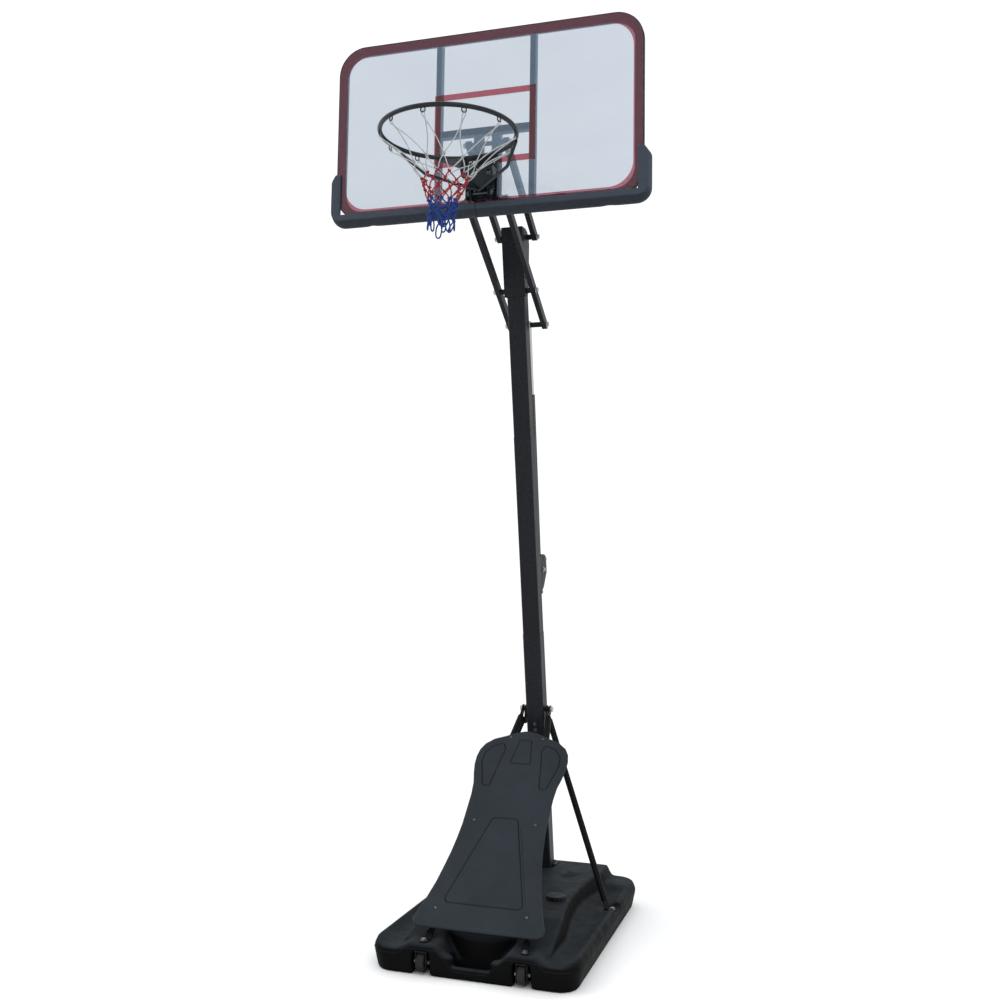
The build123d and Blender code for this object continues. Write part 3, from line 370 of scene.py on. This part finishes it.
def finish_mesh(name, points, faces, material, smooth=True):
    """A new piece from points and faces, with doubled points merged and its faces turned outward."""
    mesh = bpy.data.meshes.new(name)
    mesh.from_pydata([tuple(p) for p in points], [], faces)
    mesh.validate()
    shape = bmesh.new()
    shape.from_mesh(mesh)
    bmesh.ops.remove_doubles(shape, verts=shape.verts, dist=1e-6)
    bmesh.ops.recalc_face_normals(shape, faces=shape.faces)
    shape.to_mesh(mesh)
    shape.free()
    mesh.materials.append(material)
    if smooth:
        shade_smooth(mesh)
    return new_object(name, mesh)


def apply_modifiers(piece):
    graph = bpy.context.evaluated_depsgraph_get()
    mesh = bpy.data.meshes.new_from_object(piece.evaluated_get(graph))
    piece.modifiers.clear()
    piece.data = mesh


def grid_faces(rows, columns, closed=False):
    """Quads between rows of points; closed joins each row's last point to its first."""
    faces = []
    for i in range(rows - 1):
        for j in range(columns if closed else columns - 1):
            k = (j + 1) % columns
            faces.append((i * columns + j, i * columns + k, (i + 1) * columns + k, (i + 1) * columns + j))
    return faces


def smooth_path(points, steps):
    """A Catmull-Rom line through the points."""
    line = []
    ends = [points[0] * 2 - points[1]] + list(points) + [points[-1] * 2 - points[-2]]
    for i in range(1, len(ends) - 2):
        a, b, c, d = ends[i - 1], ends[i], ends[i + 1], ends[i + 2]
        for k in range(steps):
            t = k / steps
            line.append(
                b
                + (c - a) * (t / 2)
                + (a * 2 - b * 5 + c * 4 - d) * (t * t / 2)
                + (b * 3 - a - c * 3 + d) * (t**3 / 2)
            )
    line.append(points[-1].copy())
    return line


def add_tube(points, faces, line, radius, sides=8):
    """Adds a closed tube along a line of points to the lists of points and faces."""
    first = len(points)
    normal = None
    for i, centre in enumerate(line):
        ahead = line[min(i + 1, len(line) - 1)] - line[max(i - 1, 0)]
        ahead.normalize()
        if normal is None:
            normal = ahead.orthogonal().normalized()
        normal = (normal - ahead * normal.dot(ahead)).normalized()
        side = ahead.cross(normal)
        for k in range(sides):
            angle = 2 * pi * k / sides
            points.append(centre + (normal * cos(angle) + side * sin(angle)) * radius)
    faces += [tuple(first + v for v in face) for face in grid_faces(len(line), sides, True)]
    faces.append(tuple(first + k for k in reversed(range(sides))))
    last = first + (len(line) - 1) * sides
    faces.append(tuple(last + k for k in range(sides)))


# ---- net ----
RING_CENTRE = Vector((0.0, (RING_LOW.y + RING_HIGH.y) / 2, (RING_LOW.z + RING_HIGH.z) / 2))
HOOK_ANGLES = (0, 33, 66, 99, 131, 180, 229, 261, 294, 327)
COLUMNS = len(HOOK_ANGLES)
CORDS = (0.0019, 0.0023, 0.0027)    # cord radius in the white, red and blue parts
# Height below the ring and radius of each row of knots.
NET_ROWS = (
    (0.024, 0.234),
    (0.116, 0.112),
    (0.156, 0.078),
    (0.182, 0.070),
    (0.208, 0.065),
    (0.236, 0.050),
    (0.256, 0.044),
    (0.276, 0.042),
    (0.296, 0.044),
)
RED_START = 2                       # the first row of meshes in red, and in blue
BLUE_START = 5
EVENING = 1.3                       # how fast the knots spread evenly on the way down
JITTER = 0.003                      # random shift of a knot at the top
JITTER_GROWTH = 0.006               # and what it gains on the way down
DRIFT = Vector((-0.024, 0.004, 0))  # how far the net's foot hangs off the ring's middle
STRAND_BOW = 0.10                   # outward bow of a strand, as a share of its length
TOP_BOW = -0.06                     # and of a strand in the top row
STRAND_WANDER = 0.07                # largest random bow along the net, as a share of its length
STRAND_APART = 0.0015               # from a knot's middle to each strand that leaves it
HOOK_HALF = 0.006                   # half the width of the cord's loop over a hook
KNOT_RADIUS = 0.0045
KNOT_HEIGHT = 0.006
LOOP_DROP = 0.358                   # the lowest loops' end below the ring
LOOP_SHORTER = 0.030                # how much shorter some of them are
LOOP_SIDEWAYS = 0.014
LOOP_OUTWARD = (-0.012, 0.004)
LOOP_HALF = (0.006, 0.011)          # the narrowest and the widest half of a loop


def net_knot(row, column):
    """Where a knot hangs: rows take turns under the hooks and between them."""
    here = HOOK_ANGLES[column % COLUMNS]
    if row % 2:
        after = HOOK_ANGLES[(column + 1) % COLUMNS]
        here += ((after - here) % 360) / 2
    drop, radius = NET_ROWS[row]
    share = drop / NET_ROWS[-1][0]
    even = (column + 0.5 * (row % 2)) * 360.0 / COLUMNS
    turn = (even - here + 180) % 360 - 180
    angle = radians(here + turn * min(1.0, share * EVENING))
    jitter = Vector((0, 0, 0))
    if row:
        size = JITTER + JITTER_GROWTH * share
        jitter = Vector([random.uniform(-size, size) for _ in range(3)])
    spot = Vector((sin(angle) * radius, -cos(angle) * radius, -drop))
    return RING_CENTRE + spot + jitter + DRIFT * share**2


def away_from_ring(spot):
    """The level direction from the ring's middle to the spot."""
    return Vector((spot.x - RING_CENTRE.x, spot.y - RING_CENTRE.y, 0)).normalized()


def net_part(parts, row):
    """The part, white, red or blue, that the row is in."""
    return parts[(row >= RED_START) + (row >= BLUE_START)]


def add_strand(part, top, low, side, first_row):
    """One cord from a knot to a knot of the next row, bowed a little."""
    points, faces, cord = part
    middle = (top + low) / 2
    outward = away_from_ring(middle)
    across = (low - top).cross(outward).normalized()
    length = (low - top).length
    bow = outward * (TOP_BOW if first_row else STRAND_BOW) * length
    bow += across * random.uniform(-STRAND_WANDER, STRAND_WANDER) * length
    start = top + across * side * (HOOK_HALF if first_row else STRAND_APART)
    add_tube(points, faces, smooth_path([start, middle + bow, low], 6), cord)


def add_knot(part, spot):
    """A short coil of cord round a crossing."""
    points, faces, cord = part
    start = random.uniform(0, pi)
    steps, whole = 14, 3 * pi
    wrap = []
    for k in range(steps + 1):
        turn = whole * k / steps
        place = Vector((cos(start + turn), sin(start + turn), 0)) * KNOT_RADIUS
        wrap.append(spot + place + UP * KNOT_HEIGHT * (turn / whole - 0.5))
    add_tube(points, faces, wrap, cord * 0.95, 7)


def add_low_loop(part, top):
    """One of the loops that the net ends in."""
    points, faces, cord = part
    outward = away_from_ring(top)
    across = outward.cross(UP)
    end = RING_CENTRE.z - LOOP_DROP + random.uniform(0.0, LOOP_SHORTER)
    lean = across * random.uniform(-LOOP_SIDEWAYS, LOOP_SIDEWAYS) + outward * random.uniform(*LOOP_OUTWARD)
    half = random.uniform(*LOOP_HALF)
    down = UP * (end - top.z)
    loop = [
        top,
        top + lean * 0.4 + across * half + down * 0.4,
        top + lean * 0.9 + across * half * 0.9 + down * 0.85,
        top + lean + down,
        top + lean * 0.9 - across * half * 0.9 + down * 0.85,
        top + lean * 0.4 - across * half + down * 0.4,
        top,
    ]
    add_tube(points, faces, smooth_path(loop, 6), cord)


def add_hook_loop(part, hook):
    """The cord's bend over one of the ring's hooks."""
    points, faces, cord = part
    across = away_from_ring(hook).cross(UP)
    sides = ((1.0, 0.0), (2 / 3, 0.006), (0.0, 0.009), (-2 / 3, 0.006), (-1.0, 0.0))
    loop = [hook + across * HOOK_HALF * side + UP * rise for side, rise in sides]
    add_tube(points, faces, smooth_path(loop, 4), cord, 7)


def make_net(materials):
    knots = [[net_knot(row, column) for column in range(COLUMNS)] for row in range(len(NET_ROWS))]
    parts = [([], [], cord) for cord in CORDS]
    for row in range(len(NET_ROWS) - 1):
        for column in range(COLUMNS):
            left = column if row % 2 else column - 1
            for side, target in ((-1, left), (1, left + 1)):
                low = knots[row + 1][target % COLUMNS]
                add_strand(net_part(parts, row), knots[row][column], low, side, row == 0)
    for row in range(1, len(NET_ROWS)):
        for knot in knots[row]:
            add_knot(net_part(parts, row), knot)
    for knot in knots[-1]:
        add_low_loop(parts[-1], knot)
    for hook in knots[0]:
        add_hook_loop(parts[0], hook)
    all_points, all_faces, tones = [], [], []
    for index, (points, faces, _) in enumerate(parts):
        first = len(all_points)
        all_points += points
        all_faces += [tuple(first + v for v in face) for face in faces]
        tones += [index] * len(faces)
    mesh = bpy.data.meshes.new("net_cords")
    mesh.from_pydata([tuple(p) for p in all_points], [], all_faces)
    for material in materials:
        mesh.materials.append(material)
    mesh.polygons.foreach_set("material_index", tones)
    shade_smooth(mesh)
    net = new_object("net_cords", mesh)
    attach(net, "rim")
    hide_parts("net")


# ---- board padding ----
PAD_OUTER_X = PAD_HIGH.x - 0.0005
PAD_INNER_X = PAD_OUTER_X - 0.0455
PAD_BOTTOM = PAD_LOW.z
PAD_TOP = PAD_BOTTOM + 0.045    # top of the bottom bar
PAD_SEAM = -0.028               # where the two halves meet
SEAM_GAP = 0.0006
PAD_LEG_TOP = PAD_HIGH.z
PAD_LEG_CUT = 0.031             # height and width of the slanted cut at the leg's top
PAD_LEG_SLANT = 0.022
PAD_LEG_NARROWING = 0.6         # how much narrower the slanted outer side is on the leg
PAD_CORNER = 0.055
PAD_FRONT = PAD_LOW.y
# The pad's section: 0 at its inner edge and 1 at its outer edge, then the place behind its front.
PAD_SECTION = (
    (0.00, 0.0120),
    (0.00, 0.0050),
    (0.03, 0.0018),
    (0.09, 0.0004),
    (0.30, 0.0000),
    (0.52, 0.0004),
    (0.60, 0.0020),
    (0.68, 0.0060),
    (0.80, 0.0140),
    (0.92, 0.0230),
    (0.985, 0.0290),
    (1.00, 0.0330),
    (1.00, 0.0420),
    (0.985, 0.0480),
    (0.94, 0.0505),
    (0.80, 0.0510),
)
# The rebate behind the section, which fits round the sheet's edge, in the same terms.
PAD_REBATE = ((0.80, 0.0335), (0.66, 0.0332), (0.60, 0.0116), (0.00, 0.0116))
NICKS = {-1: 0.465, 1: 0.479}   # how far out the nick in each half's lower edge is
NICK_DEPTH = 0.005
NICK_WIDTH = 0.010
PAD_WAVE = 0.0005               # height of the front's slight waves


def pad_stations(seam):
    """Inner and outer points along one half of the padding, from the seam to the leg's top,
    with the share of the way that the bottom bar has turned into the leg."""
    stations = []
    corner = Vector((PAD_OUTER_X - PAD_CORNER, 0, PAD_BOTTOM + PAD_CORNER))
    inner = Vector((PAD_INNER_X, 0, PAD_TOP))
    steps = 34
    start = seam + SEAM_GAP
    places = [start, start + 0.0006, start + 0.003]
    places += [start + (corner.x - start) * i / steps for i in range(1, steps + 1)]
    for x in places:
        stations.append((Vector((x, 0, PAD_TOP)), Vector((x, 0, PAD_BOTTOM)), 0.0))
    steps = 12
    half = steps // 2
    for i in range(1, steps + 1):
        angle = -pi / 2 + pi / 2 * i / steps
        rim = corner + Vector((cos(angle), 0, sin(angle))) * PAD_CORNER
        if i < half:
            near = Vector((corner.x + (PAD_INNER_X - corner.x) * i / half, 0, PAD_TOP))
        else:
            near = inner + UP * 0.0001 * (i - half + 1)
        stations.append((near, rim, i / steps))
    leg_end = PAD_LEG_TOP - PAD_LEG_CUT
    leg_start = PAD_TOP + 0.0007
    for i in range(1, steps + 1):
        share = i / steps
        near = Vector((PAD_INNER_X, 0, leg_start + (leg_end - leg_start) * share))
        far = Vector((PAD_OUTER_X, 0, corner.z + (leg_end - corner.z) * share))
        stations.append((near, far, 1.0))
    steps = 4
    for i in range(1, steps + 1):
        share = i / steps
        z = leg_end + PAD_LEG_CUT * share
        far = Vector((PAD_OUTER_X - PAD_LEG_SLANT * share, 0, z))
        stations.append((Vector((PAD_INNER_X, 0, z)), far, 1.0))
    return stations


def pad_share(share, turned):
    """Place across the section: the slanted outer side is narrower on the leg."""
    return share if share < 0.5 else 1 - (1 - share) * (1 - PAD_LEG_NARROWING * turned)


def pad_point(side, station, share, depth):
    """A point of the pad's front or side, with the nick in the lower edge and the slight waves."""
    inner, outer, turned = station
    spot = inner.lerp(outer, pad_share(share, turned))
    lift = 0.0
    if share > 0.9 and spot.z < PAD_TOP - 0.035:
        lift = NICK_DEPTH * exp(-(((spot.x - NICKS[side]) / NICK_WIDTH) ** 2))
    wave = PAD_WAVE * sin(spot.x * 37 + spot.z * 61) if depth < 0.02 else 0.0
    return Vector((spot.x * side, PAD_FRONT + depth + wave, spot.z + lift))


def make_pad(name, side, node, material):
    """One moulded half of the padding, swept from its section."""
    stations = pad_stations(PAD_SEAM * side)
    points = [pad_point(side, station, *place) for station in stations for place in PAD_SECTION]
    size = len(PAD_SECTION)
    faces = grid_faces(len(stations), size)
    back = len(points)
    for inner, outer, _ in stations:
        for share, depth in PAD_REBATE:
            spot = inner.lerp(outer, share)
            points.append(Vector((spot.x * side, PAD_FRONT + depth, spot.z)))
    inside = len(PAD_REBATE)
    for i in range(len(stations) - 1):
        a, b = i * size, (i + 1) * size
        c, d = back + i * inside, back + (i + 1) * inside
        faces.append((a + size - 1, b + size - 1, d, c))
        faces += [(c + k, d + k, d + k + 1, c + k + 1) for k in range(inside - 1)]
        faces.append((c + inside - 1, d + inside - 1, b, a))
    for i in (0, len(stations) - 1):
        front_ends = range(i * size, (i + 1) * size)
        faces.append((*front_ends, *range(back + i * inside, back + (i + 1) * inside)))
    pad = finish_mesh(name, points, faces, material)
    soften = pad.modifiers.new("soften", "SUBSURF")
    soften.levels = 1
    soften.render_levels = 1
    apply_modifiers(pad)
    shade_smooth(pad.data)
    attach(pad, "board")
    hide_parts(node)


# ---- printed film on the sheet ----
FILM = 0.0003                   # how far the ink stands in front of the sheet
BORDER_INSET = 0.0032           # from the board's edge to the border
BORDER_SIDE = 0.038             # from the board's edge to the border's inner edge, at the sides
BORDER_TOP = 0.040              # and at the top and bottom
BORDER_CORNERS = (0.1068, 0.092)
TARGET_HALF_WIDTH = 0.2015
TARGET_TOP = 3.2775
TARGET_BOTTOM = 2.990
TARGET_LINE = 0.024
TARGET_CORNER = 0.0004


def rounded_outline(half_width, half_height, radius, steps):
    outline = []
    for corner, (sx, sz) in enumerate(((1, -1), (1, 1), (-1, 1), (-1, -1))):
        for i in range(steps + 1):
            angle = (corner - 1 + i / steps) * pi / 2
            x = sx * (half_width - radius) + radius * cos(angle)
            z = sz * (half_height - radius) + radius * sin(angle)
            outline.append((x, z))
    return outline


def make_film(name, outer, inner, middle_z, material):
    """A flat printed ring on the front of the sheet, between two outlines."""
    points = [Vector((x, BOARD_LOW.y - FILM, middle_z + z)) for x, z in outer + inner]
    count = len(outer)
    faces = [(j, (j + 1) % count, count + (j + 1) % count, count + j) for j in range(count)]
    film = finish_mesh(name, points, faces, material, smooth=False)
    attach(film, "board")


def make_border(ink):
    half = (BOARD_HIGH.z - BOARD_LOW.z) / 2
    outer, inner = BORDER_CORNERS
    make_film(
        "border_print",
        rounded_outline(BOARD_HIGH.x - BORDER_INSET, half - BORDER_INSET, outer, 10),
        rounded_outline(BOARD_HIGH.x - BORDER_SIDE, half - BORDER_TOP, inner, 10),
        (BOARD_HIGH.z + BOARD_LOW.z) / 2,
        ink,
    )


def make_target(ink):
    half = (TARGET_TOP - TARGET_BOTTOM) / 2
    make_film(
        "target_print",
        rounded_outline(TARGET_HALF_WIDTH, half, TARGET_CORNER, 1),
        rounded_outline(TARGET_HALF_WIDTH - TARGET_LINE, half - TARGET_LINE, TARGET_CORNER, 1),
        (TARGET_TOP + TARGET_BOTTOM) / 2,
        ink,
    )


# ---- front cover ----
COVER_TOP = Vector((0, -0.2985, 0.7595))        # between the upper screws, on the front
COVER_LOW = Vector((0, -0.8785, 0.2128))        # between the lowest screws
COVER_DOWN = (COVER_LOW - COVER_TOP).normalized()
COVER_OUT = Vector((0, COVER_DOWN.z, -COVER_DOWN.y))
# Distances below the upper screws, and the cover's half-width there.
COVER_EDGE = (
    (-0.034, 0.000),
    (-0.032, 0.025),
    (-0.024, 0.052),
    (-0.004, 0.098),
    (0.013, 0.142),
    (0.040, 0.175),
    (0.070, 0.191),
    (0.105, 0.197),
    (0.145, 0.196),
    (0.190, 0.188),
    (0.235, 0.177),
    (0.290, 0.172),
    (0.430, 0.172),
    (0.500, 0.177),
    (0.560, 0.184),
    (0.620, 0.194),
    (0.690, 0.207),
    (0.760, 0.226),
    (0.820, 0.246),
    (0.838, 0.252),
    (0.852, 0.252),
    (0.864, 0.245),
    (0.872, 0.233),
    (0.874, 0.219),
)
SCREWS = ((0.070, 0.0), (0.126, 0.413), (0.176, 0.797))
SCREW_SEAT = 0.0085             # radius of the recess round a screw
SEAT_DEPTH = 0.003
# Corners of the three kinds of panel, each with the distance to the groove round it.
WEDGE = [(-0.018, 0.020), (0.018, 0.020), (0.034, 0.124), (-0.034, 0.124)]
PANEL = [(-0.036, 0.415), (0.036, 0.415), (0.130, 0.752), (-0.130, 0.752)]
DROP = [
    *((0.095, 0.044), (0.130, 0.058), (0.154, 0.090), (0.157, 0.130)),
    *((0.128, 0.240), (0.112, 0.240), (0.096, 0.120), (0.086, 0.064)),
]
GROOVES = ((WEDGE, 0.008), (PANEL, 0.020), (DROP, 0.008))
GROOVE_DEPTH = 0.0045
GROOVE_WIDTH = 0.0021
PANEL_LIFT = 0.0006
LINE_AWAY = 0.031               # a second line beside the large panel's right side
LINE_DEPTH = 0.0022
LINE_WIDTH = 0.002
LINE_ENDS = (0.43, 0.75)
ROLL_DEPTH = 0.007              # the rim's roll backwards
ROLL_WIDTH = 0.0035
COVER_THICK = 0.008
COVER_ROWS = 440
COVER_COLUMNS = 250


def cover_half_width(v):
    for (v0, w0), (v1, w1) in zip(COVER_EDGE, COVER_EDGE[1:]):
        if v <= v1:
            return w0 + (w1 - w0) * (v - v0) / (v1 - v0)
    return COVER_EDGE[-1][1]


def outline_distance(u, v, corners):
    """Signed distance to a closed outline: negative inside."""
    best = 1e9
    inside = False
    for (x0, y0), (x1, y1) in zip(corners, corners[1:] + corners[:1]):
        ex, ey = x1 - x0, y1 - y0
        t = max(0.0, min(1.0, ((u - x0) * ex + (v - y0) * ey) / (ex * ex + ey * ey)))
        best = min(best, hypot(u - x0 - ex * t, v - y0 - ey * t))
        if (y0 > v) != (y1 > v) and u < (x1 - x0) * (v - y0) / (y1 - y0) + x0:
            inside = not inside
    return -best if inside else best


def fade(distance, width):
    """1 well inside (negative distance), falling to 0 outside over the width."""
    return 1 / (1 + exp(max(-50.0, min(50.0, distance / width))))


def groove(distance, depth, width):
    """A rounded groove's depth at a distance from its middle."""
    return depth * exp(-((distance / width) ** 2))


def cover_height(u, v):
    """The front's height above the plate, with its grooves, panels and screw seats."""
    side = abs(u)
    height = 0.0
    for corners, away in GROOVES:
        gap = outline_distance(side if corners is DROP else u, v, corners) - away
        height += PANEL_LIFT * fade(gap, 0.004) - groove(gap, GROOVE_DEPTH, GROOVE_WIDTH)
    if u > 0.02:
        beside = outline_distance(u, v, PANEL) - LINE_AWAY
        first, last = LINE_ENDS
        height -= groove(beside, LINE_DEPTH, LINE_WIDTH) * fade(first - v, 0.006) * fade(v - last, 0.006)
    for x, y in SCREWS:
        height -= SEAT_DEPTH * fade(hypot(side - x, v - y) - SCREW_SEAT, 0.0008)
    return height


def cover_rows():
    """Distances down the cover, closer together towards both ends."""
    low, high = COVER_EDGE[0][0], COVER_EDGE[-1][0]
    for i in range(COVER_ROWS):
        s = i / (COVER_ROWS - 1)
        yield low + (high - low) * (s - 0.05 * sin(2 * pi * s) / pi)


def cover_columns():
    """Shares of the half-width from -1 to 1, closer together towards both sides."""
    for j in range(COVER_COLUMNS):
        s = j / (COVER_COLUMNS - 1)
        yield (2 * s - 1) * 0.65 - cos(pi * s) * 0.35


def make_cover(material):
    """The moulded plate: a fine grid in front, a plain copy of it behind, and a wall round the rim."""
    low, high = COVER_EDGE[0][0], COVER_EDGE[-1][0]
    shares = list(cover_columns())
    front_points, back_points = [], []
    for v in cover_rows():
        width = max(cover_half_width(v), 0.001)
        for share in shares:
            u = share * width
            rim = max(0.0, min(width - abs(u), high - v, v - low + 0.02))
            height = cover_height(u, v) - ROLL_DEPTH * exp(-rim / ROLL_WIDTH)
            plate = COVER_TOP + COVER_DOWN * v + Vector((u, 0, 0))
            front_points.append(plate + COVER_OUT * height)
            back_points.append(plate - COVER_OUT * COVER_THICK)
    rows, columns, front = COVER_ROWS, COVER_COLUMNS, len(front_points)
    faces = grid_faces(rows, columns)
    faces += [tuple(front + v for v in reversed(face)) for face in faces]
    border = [
        *range(columns),
        *range(2 * columns - 1, rows * columns, columns),
        *range(rows * columns - 2, (rows - 1) * columns - 1, -1),
        *range((rows - 2) * columns, 0, -columns),
    ]
    for a, b in zip(border, border[1:] + border[:1]):
        faces.append((a, b, front + b, front + a))
    cover = finish_mesh("front_cover_shell", front_points + back_points, faces, material)
    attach(cover, "stand")
    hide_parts("front_cover")


# ---- base tank ----
HANDLE_LUMPS = (0.097, -0.966, 0.062)       # the knuckles at both ends of the grip
LUMP_SIZE = (0.030, 0.025, 0.022)
VOXEL = 0.005
SOFTENING = 28                              # rounds of smoothing
# Half of the mould's parting line across the front, from the corner to the middle: x and z.
SEAM_FRONT = ((0.366, 0.072), (0.275, 0.072), (0.250, 0.092), (0.130, 0.093), (0.066, 0.030), (0.0, 0.028))
SEAM_SIDE = (-0.95, -0.06)                  # its ends along the sides, in y
SEAM_SIDE_Z = 0.072
SEAM_RADIUS = 0.0017
RIB_PLACE = Vector((0.150, -0.120, 0.5))    # over the middle of the ribbed patch on the deck
RIB_WAY = Vector((0.44, 0.90, 0.0))
RIB_HALF = 0.040                            # half a rib, as a share of RIB_WAY
RIB_STEP = 0.0085
RIB_RADIUS = 0.0010
RIBS_BESIDE = 3                             # ribs on either side of the middle one


def on_surface(tree, line, way, deepest=0.03):
    """The line's points moved along a direction onto the surface, without diving into holes."""
    placed = []
    for spot in line:
        hit = tree.ray_cast(spot, way)[0]
        if hit is None:
            continue
        if placed and (hit - placed[-1]).dot(way) > deepest:
            hit = hit - way * (hit - placed[-1]).dot(way)
        placed.append(hit)
    return placed


def even_line(corners, step=0.008):
    """Points at even steps along straight stretches between corners."""
    line = []
    for a, b in zip(corners, corners[1:]):
        count = max(1, round((b - a).length / step))
        line += [a.lerp(b, k / count) for k in range(count)]
    return line + [corners[-1]]


def seam_lines(tree):
    """The mould's parting line: round the front, and along each side."""
    ahead = [Vector((x, -1.2, z)) for x, z in SEAM_FRONT]
    ahead += [Vector((-spot.x, spot.y, spot.z)) for spot in reversed(ahead[:-1])]
    yield on_surface(tree, even_line(ahead), Vector((0, 1, 0)))
    for side in (-1, 1):
        beside = [Vector((side, y, SEAM_SIDE_Z)) for y in SEAM_SIDE]
        yield on_surface(tree, even_line(beside), Vector((-side, 0, 0)))


def rib_lines(tree):
    """The short ribs on the deck's right."""
    across = RIB_WAY.cross(UP).normalized()
    for k in range(-RIBS_BESIDE, RIBS_BESIDE + 1):
        middle = RIB_PLACE + across * k * RIB_STEP
        ends = [middle - RIB_WAY * RIB_HALF, middle + RIB_WAY * RIB_HALF]
        yield on_surface(tree, even_line(ends), -UP)


def tank_with_lumps():
    """The CAD tank with the knuckles added beside its grip."""
    source = nodes["base_tank"]
    shape = bmesh.new()
    shape.from_mesh(source.data)
    shape.transform(source.matrix_world)
    x, y, z = HANDLE_LUMPS
    for side in (-1, 1):
        place = Matrix.Translation((side * x, y, z)) @ Matrix.Diagonal((*LUMP_SIZE, 1.0))
        bmesh.ops.create_uvsphere(shape, u_segments=24, v_segments=16, radius=1.0, matrix=place)
    mesh = bpy.data.meshes.new("tank_shell")
    shape.to_mesh(mesh)
    shape.free()
    return new_object("tank_shell", mesh)


def add_moulding_lines(mesh):
    shape = bmesh.new()
    shape.from_mesh(mesh)
    tree = BVHTree.FromBMesh(shape)
    points, faces = [], []
    for line in seam_lines(tree):
        add_tube(points, faces, line, SEAM_RADIUS, 6)
    for line in rib_lines(tree):
        add_tube(points, faces, line, RIB_RADIUS, 6)
    corners = [shape.verts.new(point) for point in points]
    for face in faces:
        shape.faces.new([corners[k] for k in face])
    shape.to_mesh(mesh)
    shape.free()


def make_tank(material):
    """The tank's moulded skin: the CAD shape softened all over, with its moulding lines on top."""
    tank = tank_with_lumps()
    remesh = tank.modifiers.new("skin", "REMESH")
    remesh.mode = "VOXEL"
    remesh.voxel_size = VOXEL
    relax = tank.modifiers.new("relax", "SMOOTH")
    relax.factor = 0.5
    relax.iterations = SOFTENING
    apply_modifiers(tank)
    add_moulding_lines(tank.data)
    tank.data.materials.clear()
    tank.data.materials.append(material)
    shade_smooth(tank.data)
    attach(tank, "stand")
    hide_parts("base_tank")


# ---- everything together ----
def dress(material, names):
    """Gives CAD nodes one of the new materials."""
    for name in names.split():
        slots = nodes[name].data.materials
        slots.clear()
        slots.append(material)


add_camera()
add_floor()
add_sky()
for lamp in LAMPS:
    add_lamp(*lamp)
bpy.context.scene.view_settings.view_transform = "Standard"

# A paler tone for the tank's faces that look up.
DECK_TOP_TONE = (0.0155, 0.019, 0.0225)
tank_plastic = moulded_plastic("tank_plastic", (0.0028, 0.0029, 0.0030), 0.6, 0.04, DECK_TOP_TONE)
cap_plastic = moulded_plastic("cap_plastic", (0.010, 0.011, 0.012), 0.5)
bush_plastic = moulded_plastic("bush_plastic", (0.011, 0.012, 0.013), 0.5)
cover_plastic = moulded_plastic("cover_plastic", (0.0175, 0.0225, 0.028), 0.55, 0.12, grain=900.0, worn=1.3)
pole_paint = powder_coat("pole_paint", (0.008, 0.0092, 0.011), 0.4, 0.09)
stand_paint = powder_coat("stand_paint", (0.0045, 0.0048, 0.0054), 0.42, 0.07)
dark_paint = powder_coat("dark_paint", (0.007, 0.008, 0.010), 0.45)
nut_enamel = powder_coat("nut_enamel", (0.006, 0.009, 0.010), 0.16, 0.6)
rim_paint = powder_coat("rim_paint", (0.005, 0.008, 0.011), 0.3, 0.22)
zinc = plated_steel("zinc", (0.48, 0.485, 0.48))
dark_steel = plated_steel("dark_steel", (0.20, 0.205, 0.21), 0.35)
black_screw = plated_steel("black_screw", (0.10, 0.103, 0.107), 0.25)
tyre_rubber = soft_rubber("tyre_rubber", (0.012, 0.012, 0.012))
pad_rubber = soft_rubber("pad_rubber", (0.030, 0.038, 0.052))
border_ink = print_material("border_ink", (0.33, 0.050, 0.090))
target_ink = print_material("target_ink", (0.30, 0.020, 0.040))
net_cords = [
    # The white cord's base is greyed to match its shaded look: painted shade, with its soiled mottle on
    # top.
    cord_material("net_white", (0.42, 0.43, 0.44)),
    cord_material("net_red", (0.27, 0.022, 0.028)),
    cord_material("net_blue", (0.006, 0.038, 0.20)),
]

dress(tank_plastic, "base_tank")
dress(cap_plastic, "fill_cap lever_handle wheel_hub_left wheel_hub_right")
dress(bush_plastic, "stand_spacers board_spacers tail_spacers")
dress(cover_plastic, "front_cover")
dress(pole_paint, "pole_lower pole_middle pole_upper head_bracket strut_outer_tube")
dress(pole_paint, "long_arm_left long_arm_right short_arm_left short_arm_right")
dress(stand_paint, "front_brace_left front_brace_right side_brace_left side_brace_right")
dress(dark_paint, "foot_plate wheel_forks latch_housing")
dress(dark_paint, "board_frame rail_left rail_right crossbar bracket_channels")
dress(rim_paint, "rim_mount rim_ring rim_saddle rim_braces net_hooks spring_cover")
dress(nut_enamel, "spring_bolts rim_hinge_pin")
dress(black_screw, "cover_screws")
dress(dark_steel, "foot_bolts pole_screws wheel_axles")
dress(zinc, "brace_bolt head_bolt lower_pivot_bolt upper_pivot_bolt strut_bolt lever_pin")
dress(zinc, "strut_inner_tube tail_rod board_lower_bolt board_upper_bolt rim_bolts return_springs")
dress(tyre_rubber, "tyre_left tyre_right")
dress(pad_rubber, "pad_left pad_right")
dress(clear_sheet_material(), "board_sheet")

make_net(net_cords)
make_pad("pad_left_foam", -1, "pad_left", pad_rubber)
make_pad("pad_right_foam", 1, "pad_right", pad_rubber)
make_border(border_ink)
make_target(target_ink)
make_cover(cover_plastic)
make_tank(tank_plastic)
